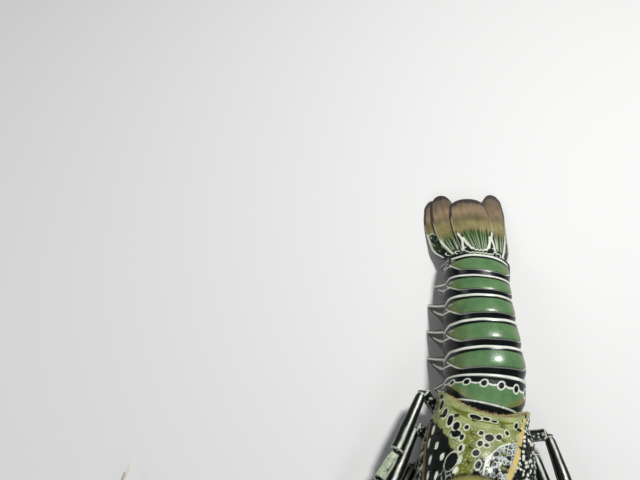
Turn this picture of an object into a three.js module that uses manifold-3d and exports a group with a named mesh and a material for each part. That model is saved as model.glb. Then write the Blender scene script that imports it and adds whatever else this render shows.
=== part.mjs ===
import * as THREE from "three";
import { mergeVertices } from "three/addons/utils/BufferGeometryUtils.js";
import Module from "manifold-3d";

// A painted spiny lobster at life size, at rest on its belly with its legs swept forward and its tail straight.
// Millimetres, +Z up, head towards -Y, floor at Z = 0. Each shape is worked out in a straight body frame whose
// Y = 0 is the joint between carapace and tail. The fore body is then turned a little at that joint.

const wasm = await Module();
wasm.setup();

// Driving dimensions
const CARAPACE_LENGTH = 112;
const TAIL_SEGMENTS = [20, 19.5, 20, 19, 16, 19];
const TAIL_LENGTH = TAIL_SEGMENTS.reduce((sum, length) => sum + length, 0);
const FAN_LENGTH = 58;
const GAP = 0.3;

// The midline of the tail curves a little: each bend turns it by some degrees from a start over a length. The crown
// of the tail also leans to the left.
const FRONT_HEADING = 10.5;
const BENDS = [
  { start: 5, length: 20, turn: -11.5 },
  { start: 60, length: 40, turn: 7 },
  { start: 114, length: 16, turn: -10 },
];
const CROWN_LEAN = 0.12;
const LEAN_HEIGHT = 15;

// Cross sections of the two shells at even stations. The carapace runs from its rear margin to its front edge.
const CARAPACE = {
  length: CARAPACE_LENGTH,
  heading: -1,
  halfWidth: [30.5, 33.5, 35.5, 36, 35, 33, 30, 25.5],
  crown: [49, 55, 59.5, 61.5, 61, 58.5, 54.5, 47.5],
  widest: [27, 28, 29, 29.5, 30, 30, 31, 32],
  belly: [12.5, 12.5, 12.5, 12.5, 12.5, 13, 15, 18],
};
const TAIL = {
  length: TAIL_LENGTH,
  heading: 1,
  halfWidth: [27.2, 26.8, 26, 24.8, 23.8, 23, 22.5],
  crown: [46, 48, 47.5, 45.5, 42.5, 38, 32],
  widest: [21, 21, 20, 19, 18, 17, 16],
  belly: [11, 11, 11, 11, 10.5, 10, 9.5],
};
const CROWN_POWER = 0.87;
const EDGE_ANGLE = THREE.MathUtils.degToRad(125);
const SIDE_TUCK = 0.16;

const DEGREE = Math.PI / 180;
const UP = new THREE.Vector3(0, 0, 1);
const SIDES = { left: 1, right: -1 };

// Colours of the shell
const finish = (color, roughness) => new THREE.MeshStandardMaterial({ color, roughness, metalness: 0 });
const MATERIALS = {
  carapace: finish(0x25301f, 0.35),
  tail: finish(0x4f8060, 0.3),
  fan: finish(0x7d6a4a, 0.45),
  leg: finish(0x1e231f, 0.35),
  antenna: finish(0xd9777a, 0.45),
  flagellum: finish(0xd9cdb4, 0.5),
  eye: finish(0x0a0a0d, 0.1),
  belly: finish(0xb59a6c, 0.5),
};

// Interpolates evenly spaced keys with a smooth curve; t runs from 0 to 1.
function along(keys, t) {
  const last = keys.length - 1;
  const at = THREE.MathUtils.clamp(t, 0, 1) * last;
  const i = Math.min(Math.floor(at), last - 1);
  const f = at - i;
  const [before, from, to, after] = [keys[Math.max(i - 1, 0)], keys[i], keys[i + 1], keys[Math.min(i + 2, last)]];
  const cubic = 3 * (from - to) + after - before;
  return from + 0.5 * f * (to - before + f * (2 * before - 5 * from + 4 * to - after + f * cubic));
}

// A round-topped step of the given half width, 1 at its centre.
const swell = (distance, width) => Math.exp(-((distance / width) ** 2));

// Moves each corner of a geometry to where place puts it.
function reshape(geometry, place) {
  const position = geometry.getAttribute("position");
  const corner = new THREE.Vector3();
  for (let i = 0; i < position.count; i += 1) {
    corner.fromBufferAttribute(position, i);
    position.setXYZ(i, ...place(corner).toArray());
  }
  return geometry;
}

// A closed skin around a run of sections: place(v, angle, r) has v along it, angle from the crown, r = 0 at the core.
function loft(sides, rows, place) {
  const barrel = new THREE.CylinderGeometry(1, 1, 1, sides, rows);
  return reshape(barrel, (p) => place(p.y + 0.5, Math.atan2(p.x, p.z), Math.hypot(p.x, p.z)));
}

// A thin plate: place(u, v, upper) gives each corner, with u along it, v across it and upper true on its top face.
function plate(rows, columns, place) {
  const slab = new THREE.BoxGeometry(1, 1, 1, columns, rows, 1);
  return reshape(slab, (p) => place(p.y + 0.5, p.x + 0.5, p.z > 0));
}

// A closed geometry as a solid that can be joined and cut, with its faces turned out.
function solid(geometry) {
  const bare = new THREE.BufferGeometry();
  bare.setAttribute("position", geometry.getAttribute("position"));
  bare.setIndex(geometry.getIndex());
  const welded = mergeVertices(bare, 1e-4);
  const source = welded.getIndex().array;
  const wind = (flip) => {
    const triangles = [];
    for (let i = 0; i < source.length; i += 3) {
      const [a, b, c] = [source[i], source[i + 1], source[i + 2]];
      if (a !== b && b !== c && a !== c) triangles.push(...(flip ? [a, c, b] : [a, b, c]));
    }
    const vertProperties = welded.getAttribute("position").array;
    return new wasm.Manifold(new wasm.Mesh({ numProp: 3, vertProperties, triVerts: new Uint32Array(triangles) }));
  };
  const made = wind(false);
  return made.volume() < 0 ? wind(true) : made;
}

const largest = (made) => made.decompose().reduce((best, body) => (body.volume() > best.volume() ? body : best));
const fuse = (geometries) => largest(geometries.map(solid).reduce((whole, piece) => whole.add(piece)));
const cut = (made, ...cutters) => largest(cutters.reduce((rest, cutter) => rest.subtract(cutter), made));

// A block under the floor, which trims whatever stands on it to small flats.
const BELOW_FLOOR = solid(new THREE.BoxGeometry(1000, 1000, 20).translate(0, 0, -10));
const stand = (made) => cut(made, BELOW_FLOOR);

function mesh(name, made, material, place) {
  const { numProp, vertProperties, triVerts } = made.getMesh();
  const corners = [];
  for (let i = 0; i < vertProperties.length; i += numProp)
    corners.push(vertProperties[i], vertProperties[i + 1], vertProperties[i + 2]);
  const geometry = new THREE.BufferGeometry();
  geometry.setAttribute("position", new THREE.Float32BufferAttribute(corners, 3));
  geometry.setIndex(new THREE.BufferAttribute(triVerts, 1));
  if (place) reshape(geometry, place);
  geometry.computeVertexNormals();
  const piece = new THREE.Mesh(geometry, MATERIALS[material].clone());
  piece.name = name;
  return piece;
}

// A tapering rod along a curve. radii are its half widths at even stations, flat is its depth as a share of that,
// and grow makes the larger copy that cuts a neighbour clear.
function rod(curve, radii, { sides = 8, rows = radii.length - 1, flat = 1, grow = 0 } = {}) {
  return loft(sides, rows, (v, angle, r) => {
    const ahead = curve.getTangentAt(v);
    const across = new THREE.Vector3().crossVectors(ahead, UP).normalize();
    const above = new THREE.Vector3().crossVectors(across, ahead);
    const half = (along(radii, v) + grow) * r;
    return curve
      .getPointAt(v)
      .addScaledVector(ahead, grow * (2 * v - 1))
      .addScaledVector(across, Math.sin(angle) * half)
      .addScaledVector(above, Math.cos(angle) * half * flat);
  });
}

const straight = (from, to) => new THREE.LineCurve3(from, to);
const point = (x, y, z) => new THREE.Vector3(x, y, z);

// A direction by its heading, in degrees forward of straight out to one side, and its rise.
function direction(side, heading, rise) {
  const [turn, lift] = [heading * DEGREE, rise * DEGREE];
  return point(side * Math.cos(turn) * Math.cos(lift), -Math.sin(turn) * Math.cos(lift), Math.sin(lift));
}

// A spine with its root sunk into the shell that it grows from.
function spine(root, ahead, length, radius, { sides = 5, grow = 0 } = {}) {
  const sunk = 0.35 * length;
  const height = sunk + length + 3 * grow;
  const from = root.clone().addScaledVector(ahead, -sunk);
  const cone = new THREE.ConeGeometry(radius + 2 * grow, height, sides, 1).translate(0, height / 2, 0);
  cone.applyQuaternion(new THREE.Quaternion().setFromUnitVectors(point(0, 1, 0), ahead));
  return cone.translate(from.x, from.y, from.z);
}

// One corner of a shell section: angle 0 is the crown, and past the edge angle the underside is flat.
function shellPoint(shell, y, angle, { relief = 0, r = 1 } = {}) {
  const t = (shell.heading * y) / shell.length;
  const [width, crown, widest, belly] = [shell.halfWidth, shell.crown, shell.widest, shell.belly].map((keys) =>
    along(keys, t),
  );
  const turn = Math.abs(angle);
  const side = Math.sign(angle);
  let [x, z] = [0, belly];
  if (turn <= Math.PI / 2) {
    x = width * Math.sin(turn) ** CROWN_POWER;
    z = widest + (crown - widest) * Math.cos(turn) ** CROWN_POWER;
  } else if (turn <= EDGE_ANGLE) {
    const down = (turn - Math.PI / 2) / (EDGE_ANGLE - Math.PI / 2);
    x = width * (1 - SIDE_TUCK * down * down);
    z = widest + (belly - widest) * down;
  } else {
    x = (width * (1 - SIDE_TUCK) * (Math.PI - turn)) / (Math.PI - EDGE_ANGLE);
  }
  const reach = Math.hypot(x, z - widest);
  const scale = ((reach + relief) / reach) * r;
  return point(side * x * scale, y, widest + (z - widest) * scale);
}

function shellNormal(shell, y, angle) {
  const step = 0.01;
  const alongShell = shellPoint(shell, y + 1, angle).sub(shellPoint(shell, y - 1, angle));
  const around = shellPoint(shell, y, angle + step).sub(shellPoint(shell, y, angle - step));
  return new THREE.Vector3().crossVectors(around, alongShell).normalize().multiplyScalar(-1);
}

// Carapace. The groove that parts head from chest crosses the crown near mid length and sweeps forward down each
// side, and the rows of the mesh follow it. A second groove runs inside the thick rear rim.
const NECK_SHARE = 0.446;
const NECK_SWEEP = 40;
const NECK_DEPTH = 2.6;
const RIM_SHARE = 0.075;
const RIM_DEPTH = 1.5;
const REAR_LOBE = 5;
const REAR_NOTCH = 13;
const REAR_REACH = 0.3;
const CARAPACE_ROWS = [
  0, 0.018, 0.045, 0.075, 0.105, 0.16, 0.23, 0.31, 0.38, 0.42, 0.446, 0.472, 0.51, 0.58, 0.66, 0.74, 0.82, 0.9, 0.965,
  1,
];

// The rear margin is hollowed at the crown and reaches back in a lobe on each side.
function rearMargin(angle) {
  const turn = Math.abs(angle);
  if (turn <= Math.PI / 2) return REAR_LOBE - REAR_NOTCH * Math.cos(turn) ** 2;
  return REAR_LOBE - 6 * THREE.MathUtils.smoothstep(turn, Math.PI / 2, EDGE_ANGLE);
}

function carapaceAt(share, angle, r, grow) {
  const turn = Math.min(Math.abs(angle), 100 * DEGREE);
  const reach = share < NECK_SHARE ? share / NECK_SHARE : (1 - share) / (1 - NECK_SHARE);
  const sweep = NECK_SWEEP * (1 - Math.cos(turn)) * reach * reach * (3 - 2 * reach);
  const rear = rearMargin(angle) * Math.max(1 - share / REAR_REACH, 0) ** 2;
  const y = rear - CARAPACE_LENGTH * share - sweep;
  const fade = THREE.MathUtils.clamp((115 * DEGREE - Math.abs(angle)) / (30 * DEGREE), 0, 1);
  const groove = NECK_DEPTH * swell(share - NECK_SHARE, 0.022) + RIM_DEPTH * swell(share - RIM_SHARE, 0.025);
  const made = shellPoint(CARAPACE, y, angle, { relief: grow - fade * groove, r });
  if (share === 0) made.y += grow;
  if (share === 1) made.y -= grow;
  return made;
}

function carapaceShell(grow) {
  const rows = CARAPACE_ROWS.length - 1;
  return loft(32, rows, (v, angle, r) => carapaceAt(CARAPACE_ROWS[Math.round(v * rows)], angle, r, grow));
}

// Rows of spines on one side of the carapace: their angle from the crown, the first and last place, how many, and
// the first and last length. Those of the head are strong, those behind the neck groove are low.
const SPINE_ROWS = [
  { angle: 22, from: -95, to: -64, count: 4, first: 8, last: 5 },
  { angle: 40, from: -103, to: -70, count: 4, first: 7.5, last: 4.5 },
  { angle: 60, from: -106, to: -78, count: 4, first: 9, last: 4.5 },
  { angle: 82, from: -104, to: -84, count: 3, first: 6.5, last: 4 },
  { angle: 104, from: -103, to: -90, count: 2, first: 5, last: 4 },
  { angle: 7, from: -101, to: -70, count: 3, first: 3.5, last: 3 },
  { angle: 13, from: -40, to: -14, count: 4, first: 3.4, last: 2.4 },
  { angle: 34, from: -47, to: -13, count: 4, first: 3.6, last: 2.4 },
  { angle: 56, from: -60, to: -14, count: 5, first: 3.8, last: 2.4 },
  { angle: 80, from: -70, to: -16, count: 5, first: 3.6, last: 2.4 },
];

function carapaceSpines(grow) {
  const made = [];
  for (const side of Object.values(SIDES))
    for (const { angle, from, to, count, first, last } of SPINE_ROWS)
      for (let i = 0; i < count; i += 1) {
        const share = i / (count - 1);
        const y = THREE.MathUtils.lerp(from, to, share);
        const length = THREE.MathUtils.lerp(first, last, share);
        const root = shellPoint(CARAPACE, y, side * angle * DEGREE, { relief: -0.5 });
        const ahead = shellNormal(CARAPACE, y, side * angle * DEGREE).add(point(0, -0.85, 0)).normalize();
        made.push(spine(root, ahead, length, 0.32 * length + 0.5, { sides: y < -62 ? 5 : 4, grow }));
      }
  return made;
}

const carapace = fuse([carapaceShell(0), ...carapaceSpines(0)]);
const carapaceCutter = fuse([carapaceShell(GAP), ...carapaceSpines(GAP)]);

// Horns over the eyes, strong and curved forward.
function horn(side, grow = 0) {
  const curve = new THREE.QuadraticBezierCurve3(
    point(side * 11.5, -99, 45),
    point(side * 13, -113, 54),
    point(side * 14, -128, 57),
  );
  return rod(curve, [6, 5.4, 4.2, 2.9, 1.5, 0.3], { flat: 0.85, grow });
}

// Eyes on short stalks in front of the horns' feet.
const EYE_RADIUS = 5.7;
function eye(side) {
  const centre = point(side * 19.5, -119.5, 43.5);
  const ball = new THREE.SphereGeometry(EYE_RADIUS, 12, 8).rotateX(Math.PI / 2);
  const stalk = rod(straight(point(side * 12, -108, 41), centre), [3.6, 3.4, 4.4], { sides: 8 });
  return [ball.translate(centre.x, centre.y, centre.z), stalk];
}

// Antennular plate between the feet of the antennae, with two pairs of spines.
const PLATE = { halfWidth: 8.3, rear: -112 - GAP, front: -127, low: 31, rearTop: 41, frontTop: 37.5 };
function antennularPlate(grow = 0) {
  const block = new THREE.BoxGeometry(2, 1, 1, 4, 2, 1);
  reshape(block, (p) => {
    const share = p.y + 0.5;
    const top = THREE.MathUtils.lerp(PLATE.frontTop, PLATE.rearTop, share) - 1.6 * p.x * p.x;
    const half = PLATE.halfWidth * (0.8 + 0.2 * share) + grow;
    const y = THREE.MathUtils.lerp(PLATE.front - grow, PLATE.rear, share);
    return point(p.x * half, y, p.z > 0 ? top + grow : PLATE.low - grow);
  });
  const spines = Object.values(SIDES).flatMap((side) => [
    spine(point(side * 4.6, -124, 37), direction(side, 70, 35), 8, 2.2),
    spine(point(side * 3.8, -117, 38.5), direction(side, 65, 45), 5.5, 1.8),
  ]);
  return [block, ...spines];
}

// Antennae: three stout spiny joints and a long whip. Each joint starts where the one before ends.
const ANTENNA_ROOT = { x: 17, y: -112 - GAP, z: 26 };
const ANTENNA_JOINTS = [
  { name: "base", length: 22, heading: 70, rise: 5, radii: [8.6, 9.6, 9.6, 8.2], spines: 4 },
  { name: "middle", length: 25, heading: 60, rise: 8, radii: [6.8, 8.8, 9, 8.2], spines: 6 },
  { name: "end", length: 31, heading: 51, rise: 10, radii: [6, 7.8, 7.9, 7.6, 6.2], spines: 8 },
];
const ANTENNA_SPINE_RING = [-70, 0, 70, 140, 215, 30, -35, 100];
const WHIP_RADII = [4.6, 3.9, 3.2, 2.6, 2.1, 1.6, 1.2, 0.9, 0.6];
const WHIP_SPLIT = 0.4;

function antenna(side) {
  const made = {};
  let from = point(side * ANTENNA_ROOT.x, ANTENNA_ROOT.y, ANTENNA_ROOT.z);
  let before = carapaceCutter;
  for (const { name, length, heading, rise, radii, spines } of ANTENNA_JOINTS) {
    const ahead = direction(side, heading, rise);
    const to = from.clone().addScaledVector(ahead, length);
    const axis = straight(from, to);
    const across = new THREE.Vector3().crossVectors(ahead, UP).normalize();
    const above = new THREE.Vector3().crossVectors(across, ahead);
    const grown = [];
    for (let i = 0; i < spines; i += 1) {
      const turn = ANTENNA_SPINE_RING[i] * DEGREE * side;
      const out = across.clone().multiplyScalar(Math.sin(turn)).addScaledVector(above, Math.cos(turn));
      const share = i < 4 ? 0.82 : 0.42;
      const root = axis.getPointAt(share).addScaledVector(out, along(radii, share) - 0.8);
      const size = i < 4 ? 6.5 : 4.5;
      grown.push(spine(root, out.multiplyScalar(0.8).addScaledVector(ahead, 0.8).normalize(), size, 0.3 * size));
    }
    const joint = cut(fuse([rod(axis, radii, { sides: 10 }), ...grown]), before);
    made[name] = joint;
    before = solid(rod(axis, radii, { sides: 10, grow: GAP }));
    from = to.addScaledVector(ahead, GAP);
  }
  const whip = new THREE.CatmullRomCurve3([
    from,
    point(side * 84, -201, 45),
    point(side * 119, -216, 46),
    point(side * 155, -213, 43),
    point(side * 187, -193, 36),
    point(side * 209, -160, 27),
    point(side * 220, -122, 17),
    point(side * 223, -86, 8),
  ]);
  const lengthOf = (start, end) => {
    const piece = new THREE.Curve();
    piece.getPoint = (v) => whip.getPointAt(THREE.MathUtils.lerp(start, end, v));
    piece.getPointAt = piece.getPoint;
    piece.getTangentAt = (v) => whip.getTangentAt(THREE.MathUtils.lerp(start, end, v));
    return piece;
  };
  const radiiOf = (start, end, rows) =>
    Array.from({ length: rows + 1 }, (_, i) => along(WHIP_RADII, THREE.MathUtils.lerp(start, end, i / rows)));
  const gapShare = GAP / whip.getLength();
  made.whip = cut(solid(rod(lengthOf(0, WHIP_SPLIT), radiiOf(0, WHIP_SPLIT, 12), {})), before);
  made.whip_tip = solid(rod(lengthOf(WHIP_SPLIT + gapShare, 1), radiiOf(WHIP_SPLIT, 1, 16), { sides: 6 }));
  return made;
}

// Antennules: a slim three-jointed stem that forks into two fine whips.
function antennule(side) {
  const stem = new THREE.CatmullRomCurve3([
    point(side * 4.4, -125, 34),
    point(side * 6.5, -150, 38),
    point(side * 10, -174, 43),
    point(side * 13, -192, 47),
    point(side * 16, -208, 49),
  ]);
  const outer = new THREE.CatmullRomCurve3([
    point(side * 15.6, -206, 49),
    point(side * 22, -226, 49),
    point(side * 31, -246, 44),
    point(side * 42, -264, 35),
  ]);
  const inner = new THREE.CatmullRomCurve3([
    point(side * 15.6, -206, 49),
    point(side * 18.5, -235, 53),
    point(side * 19, -268, 50),
    point(side * 15, -298, 39),
    point(side * 8, -322, 24),
  ]);
  const whole = fuse([
    rod(stem, [2.3, 2.2, 2.4, 2, 1.9, 2.1, 1.7, 1.9], { sides: 7, rows: 7 }),
    rod(outer, [1.5, 1.3, 1, 0.4], { sides: 5, rows: 6 }),
    rod(inner, [1.3, 1, 0.7, 0.3], { sides: 5, rows: 7 }),
  ]);
  return cut(whole, solid(antennularPlate(GAP)[0]));
}

// Outer mouth legs, folded under the head.
function mouthLeg(side) {
  const joints = [point(side * 7, -86, 7), point(side * 9.5, -107, 12), point(side * 8, -122, 15)];
  joints.push(point(side * 5, -127, 8.5), point(side * 4, -116, 4.5));
  const sizes = [
    [3, 3.6, 3.4, 3],
    [2.8, 3, 2.6],
    [2.4, 2.6, 2.3],
    [2.1, 1.7, 0.6],
  ];
  return sizes.map((radii, i) => rod(straight(joints[i], joints[i + 1]), radii, { sides: 8 }));
}

// Breast plate between the legs: a long shield, broad behind, whose flat underside carries the body.
const STERNUM = { rear: -5, front: -84, rearHalf: 16.5, frontHalf: 8 };
function sternum(grow = 0) {
  const { rear, front, rearHalf, frontHalf } = STERNUM;
  const outline = new THREE.Shape();
  outline.moveTo(-rearHalf - grow, rear + grow);
  outline.quadraticCurveTo(0, rear + grow - 6, rearHalf + grow, rear + grow);
  outline.lineTo(frontHalf + grow, front);
  outline.quadraticCurveTo(0, front - 6 - grow, -frontHalf - grow, front);
  outline.closePath();
  const height = CARAPACE.belly[0] - GAP;
  return new THREE.ExtrudeGeometry(outline, { depth: height, bevelEnabled: false, curveSegments: 5 });
}
const sternumHalf = (y) => {
  const share = (y - STERNUM.rear) / (STERNUM.front - STERNUM.rear);
  return THREE.MathUtils.lerp(STERNUM.rearHalf, STERNUM.frontHalf, share);
};

// Walking legs, first to fifth from the head. Each has a hip, thigh, wrist, hand and claw, as lengths, and for each
// side the heading of each length in degrees forward of straight out, with the rise of all but the claw, which
// reaches down to the floor.
const LEG_RADII = [
  [4.6, 5, 4.6, 4],
  [3.6, 4.2, 5, 4.5],
  [3.4, 4.3, 3.8],
  [3.1, 3.5, 3.1, 2.6],
  [2.5, 2, 0.7],
];
const LEG_ROOT_HEIGHT = 6.8;
const CLAW_TIP_HEIGHT = 0.35;
const LEGS = [
  {
    root: -75,
    size: 0.94,
    lengths: [22, 44, 19, 38, 22],
    right: { heading: [20, 72, 76, 80, 84], rise: [2, 9, 5, -11] },
    left: { heading: [18, 64, 74, 80, 86], rise: [6, 18, 4, -18] },
  },
  {
    root: -60,
    size: 1,
    lengths: [24, 48, 21, 42, 24],
    right: { heading: [8, 73, 66, 70, 74], rise: [2, 9, 5, -12] },
    left: { heading: [5, 66, 66, 70, 74], rise: [8, 19, 2, -19] },
  },
  {
    root: -44,
    size: 1,
    lengths: [26, 49, 21, 42, 24],
    right: { heading: [-4, 73, 64, 65, 68], rise: [2, 9, 5, -13] },
    left: { heading: [-8, 68, 62, 63, 66], rise: [12, 17, 2, -19] },
  },
  {
    root: -28,
    size: 0.97,
    lengths: [29, 46, 20, 39, 22],
    right: { heading: [-20, 76, 58, 57, 59], rise: [8, 12, 4, -17] },
    left: { heading: [-22, 68, 60, 56, 56], rise: [18, 13, 2, -20] },
  },
  {
    root: -13,
    size: 0.92,
    lengths: [35, 45, 20, 37, 20],
    right: { heading: [-34, 76, 68, 54, 50], rise: [28, 3, -3, -20] },
    left: { heading: [-16, 68, 60, 50, 46], rise: [18, 9, -1, -21] },
  },
];

function leg(side, sideName, { root, size, lengths, ...poses }) {
  const { heading, rise } = poses[sideName];
  const joints = [point(side * (sternumHalf(root) - 1), root, LEG_ROOT_HEIGHT)];
  lengths.forEach((length, i) => {
    const from = joints[i];
    const drop = Math.asin((CLAW_TIP_HEIGHT - from.z) / length) / DEGREE;
    joints.push(from.clone().addScaledVector(direction(side, heading[i], i < 4 ? rise[i] : drop), length));
  });
  const length = (i, grow = 0) =>
    rod(
      straight(joints[i], joints[i + 1]),
      LEG_RADII[i].map((radius) => radius * size),
      { grow, flat: 0.92 },
    );
  const upper = cut(fuse([length(0), length(1)]), solid(sternum(GAP)), carapaceCutter);
  const lower = cut(fuse([length(2), length(3), length(4)]), solid(length(1, GAP)));
  return { upper: stand(upper), lower: stand(lower) };
}

// Tail. Each ring of shell is a little narrow in front and lipped behind, with a pointed flap down each side. The
// flaps stand out further on the right.
const TAIL_STARTS = TAIL_SEGMENTS.map((_, i) => TAIL_SEGMENTS.slice(0, i).reduce((sum, length) => sum + length, 0));
const RING_ROWS = [0, 0.16, 0.45, 0.8, 0.95, 1];
const FLAP_TIP_HEIGHT = [3.5, -0.3, -0.3, -0.3, -0.3, 2];
const FLAP_TIP_FLARE = { left: [2, 3, 3, 3, 2.5, 1.5], right: [4, 8, 8.5, 8.5, 4.5, 1.5] };
const FLAP_TIP_SHARE = [0.8, 1.14, 1.14, 1.14, 1.1, 0.9];
const FLAP_DEPTH_TOP = 24;

function ringRelief(share) {
  return 0.9 * Math.sin(Math.PI * share ** 0.8) - 1.1 * swell(share, 0.16) + 0.5 * swell(share - 0.95, 0.06);
}

function ring(index) {
  const end = TAIL_STARTS[index] + TAIL_SEGMENTS[index];
  const rows = RING_ROWS.length - 1;
  return loft(22, rows, (v, angle, r) => {
    const share = RING_ROWS[Math.round(v * rows)];
    const start = index ? TAIL_STARTS[index] : rearMargin(angle);
    const y = THREE.MathUtils.lerp(start + GAP, end, share);
    return shellPoint(TAIL, y, angle, { relief: ringRelief(share), r });
  });
}

function flap(index, sideName) {
  const [start, length] = [TAIL_STARTS[index], TAIL_SEGMENTS[index]];
  const side = SIDES[sideName];
  const tipHeight = FLAP_TIP_HEIGHT[index];
  const tipY = start + FLAP_TIP_SHARE[index] * length;
  return plate(4, 2, (down, back, outer) => {
    const y = THREE.MathUtils.lerp(
      THREE.MathUtils.lerp(start + 0.1 * length, tipY - 1.1, down ** 1.5),
      THREE.MathUtils.lerp(start + 0.95 * length, tipY + 1.1, down ** 1.7),
      back,
    );
    const z = THREE.MathUtils.lerp(FLAP_DEPTH_TOP, tipHeight, down);
    const flare = FLAP_TIP_FLARE[sideName][index] * down ** 1.3;
    const wall = along(TAIL.halfWidth, y / TAIL_LENGTH) * (1 - 0.06 * down * down) + 0.4 + flare;
    const thick = THREE.MathUtils.lerp(4, 1.5, down);
    return point(side * (outer ? wall : wall - thick), y, z);
  });
}

function tailSegment(index) {
  const whole = fuse([ring(index), flap(index, "left"), flap(index, "right")]);
  return stand(index ? whole : cut(whole, carapaceCutter));
}

// Swimmerets: a pair of soft leaves under each of the second to fifth tail rings.
function swimmeret(index, side) {
  const [start, length] = [TAIL_STARTS[index], TAIL_SEGMENTS[index]];
  return plate(4, 2, (back, across, upper) => {
    const half = 7.5 * Math.sin(Math.PI * (0.12 + 0.8 * back)) ** 0.7;
    const x = 13 + 3 * back + half * (2 * across - 1);
    const y = start + 0.3 * length + 15.5 * back;
    const top = along(TAIL.belly, y / TAIL_LENGTH) - 1.5 * GAP - 2.8 * back ** 1.5 - 0.5 * (2 * across - 1) ** 2;
    return point(side * x, y, upper ? top : top - 1);
  });
}

// Tail fan: a middle plate over an inner and an outer pair, laid on one arch that flattens towards the free edge.
// Its two sides are spread unlike each other.
const FAN_ROOT = TAIL_LENGTH + GAP;
const FAN_VANES = {
  telson: { root: 0, tip: 0, half: [12.5, 14, 15.2, 15.8, 15.4, 13.5], length: 58.5, drop: 0, round: 4.5, rays: 6 },
  inner: { root: 13, tip: 18, half: [4.5, 8.4, 10, 10.5, 10, 8], length: 65, drop: 2.5, round: 7, rays: 4 },
  outer: { root: 18.5, tip: 22, half: [5, 9.2, 10, 10, 9, 6.8], length: 62, drop: 5, round: 7, rays: 3 },
};
const VANE_SPREAD = { left: { inner: 4.5, outer: 1 }, right: { inner: 1, outer: 3 } };
const VANE_THICKNESS = [2.1, 2, 1.6, 1.3, 1.1, 1];
const RAY_HEIGHT = 0.22;

function archHeight(x, share) {
  const crown = THREE.MathUtils.lerp(27.5, 11.5, share ** 0.85);
  const fall = THREE.MathUtils.lerp(0.016, 0.0052, share);
  return crown - fall * x * x;
}

function vane({ root, tip, half, length, drop, round, rays }, side, spread = 0) {
  return plate(8, 6, (back, across, upper) => {
    const v = 2 * across - 1;
    const x = THREE.MathUtils.lerp(root, tip + spread, back ** 0.7) + along(half, back) * v;
    const y = FAN_ROOT + length * back - round * Math.abs(v) ** 2.5 * back * back;
    const soft = THREE.MathUtils.smoothstep(back, 0.45, 0.6);
    const ray = RAY_HEIGHT * soft * Math.cos(Math.PI * rays * v);
    const surface = archHeight(x, (length * back) / FAN_LENGTH) - drop;
    return point(side * x, y, upper ? surface + ray : surface - along(VANE_THICKNESS, back));
  });
}

// Lays a point of the straight tail along the curved midline.
const headingAt = (y) =>
  BENDS.reduce(
    (heading, { start, length, turn }) => heading + turn * THREE.MathUtils.clamp((y - start) / length, 0, 1),
    FRONT_HEADING,
  ) * DEGREE;
const MIDLINE = [point(0, 0, 0)];
const MIDLINE_END = 180;
for (let y = 0; y < MIDLINE_END; y += 1) {
  const heading = headingAt(y + 0.5);
  MIDLINE.push(MIDLINE[y].clone().add(point(Math.sin(heading), Math.cos(heading), 0)));
}

function bend(p) {
  const station = THREE.MathUtils.clamp(p.y, 0, MIDLINE_END - 1);
  const step = Math.floor(station);
  const middle = MIDLINE[step].clone().lerp(MIDLINE[step + 1], station - step);
  const heading = headingAt(station);
  const onward = p.y - station;
  const aside = p.x + CROWN_LEAN * (p.z - LEAN_HEIGHT) * THREE.MathUtils.smoothstep(p.y, 5, 30);
  return point(
    middle.x + Math.cos(heading) * aside + Math.sin(heading) * onward,
    middle.y - Math.sin(heading) * aside + Math.cos(heading) * onward,
    p.z,
  );
}

// Fore body
const foreBody = new THREE.Group();
foreBody.rotation.z = -FRONT_HEADING * DEGREE;
foreBody.add(mesh("carapace", carapace, "carapace"));
foreBody.add(mesh("sternum", solid(sternum()), "belly"));
foreBody.add(mesh("antennular_plate", fuse(antennularPlate()), "antenna"));

for (const [sideName, side] of Object.entries(SIDES)) {
  const hornCutter = solid(horn(side, GAP));
  foreBody.add(mesh(`horn_${sideName}`, cut(solid(horn(side)), carapaceCutter), "carapace"));
  foreBody.add(mesh(`eye_${sideName}`, cut(fuse(eye(side)), carapaceCutter, hornCutter), "eye"));
  for (const [name, made] of Object.entries(antenna(side)))
    foreBody.add(mesh(`antenna_${sideName}_${name}`, made, name.startsWith("whip") ? "flagellum" : "antenna"));
  foreBody.add(mesh(`antennule_${sideName}`, antennule(side), "flagellum"));
  foreBody.add(mesh(`mouth_leg_${sideName}`, cut(fuse(mouthLeg(side)), carapaceCutter, solid(sternum(GAP))), "leg"));
  LEGS.forEach((plan, i) => {
    const { upper, lower } = leg(side, sideName, plan);
    foreBody.add(mesh(`leg_${sideName}_${i + 1}_upper`, upper, "leg"));
    foreBody.add(mesh(`leg_${sideName}_${i + 1}_lower`, lower, "leg"));
  });
}

// Tail and fan
const tail = new THREE.Group();
TAIL_SEGMENTS.forEach((_, i) => tail.add(mesh(`tail_ring_${i + 1}`, tailSegment(i), "tail", bend)));
tail.add(mesh("telson", solid(vane(FAN_VANES.telson, 1)), "fan", bend));
for (const [sideName, side] of Object.entries(SIDES)) {
  for (const i of [1, 2, 3, 4])
    tail.add(mesh(`swimmeret_${sideName}_${i + 1}`, solid(swimmeret(i, side)), "belly", bend));
  for (const [vaneName, spread] of Object.entries(VANE_SPREAD[sideName]))
    tail.add(mesh(`fan_${vaneName}_${sideName}`, solid(vane(FAN_VANES[vaneName], side, spread)), "fan", bend));
}

// The part's origin is on the floor under the middle of the whole animal.
const lobster = new THREE.Group();
lobster.add(foreBody, tail);
const middle = new THREE.Box3().setFromObject(lobster, true).getCenter(new THREE.Vector3());
lobster.position.set(-middle.x, -middle.y, 0);

export default lobster;
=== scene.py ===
import math

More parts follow.
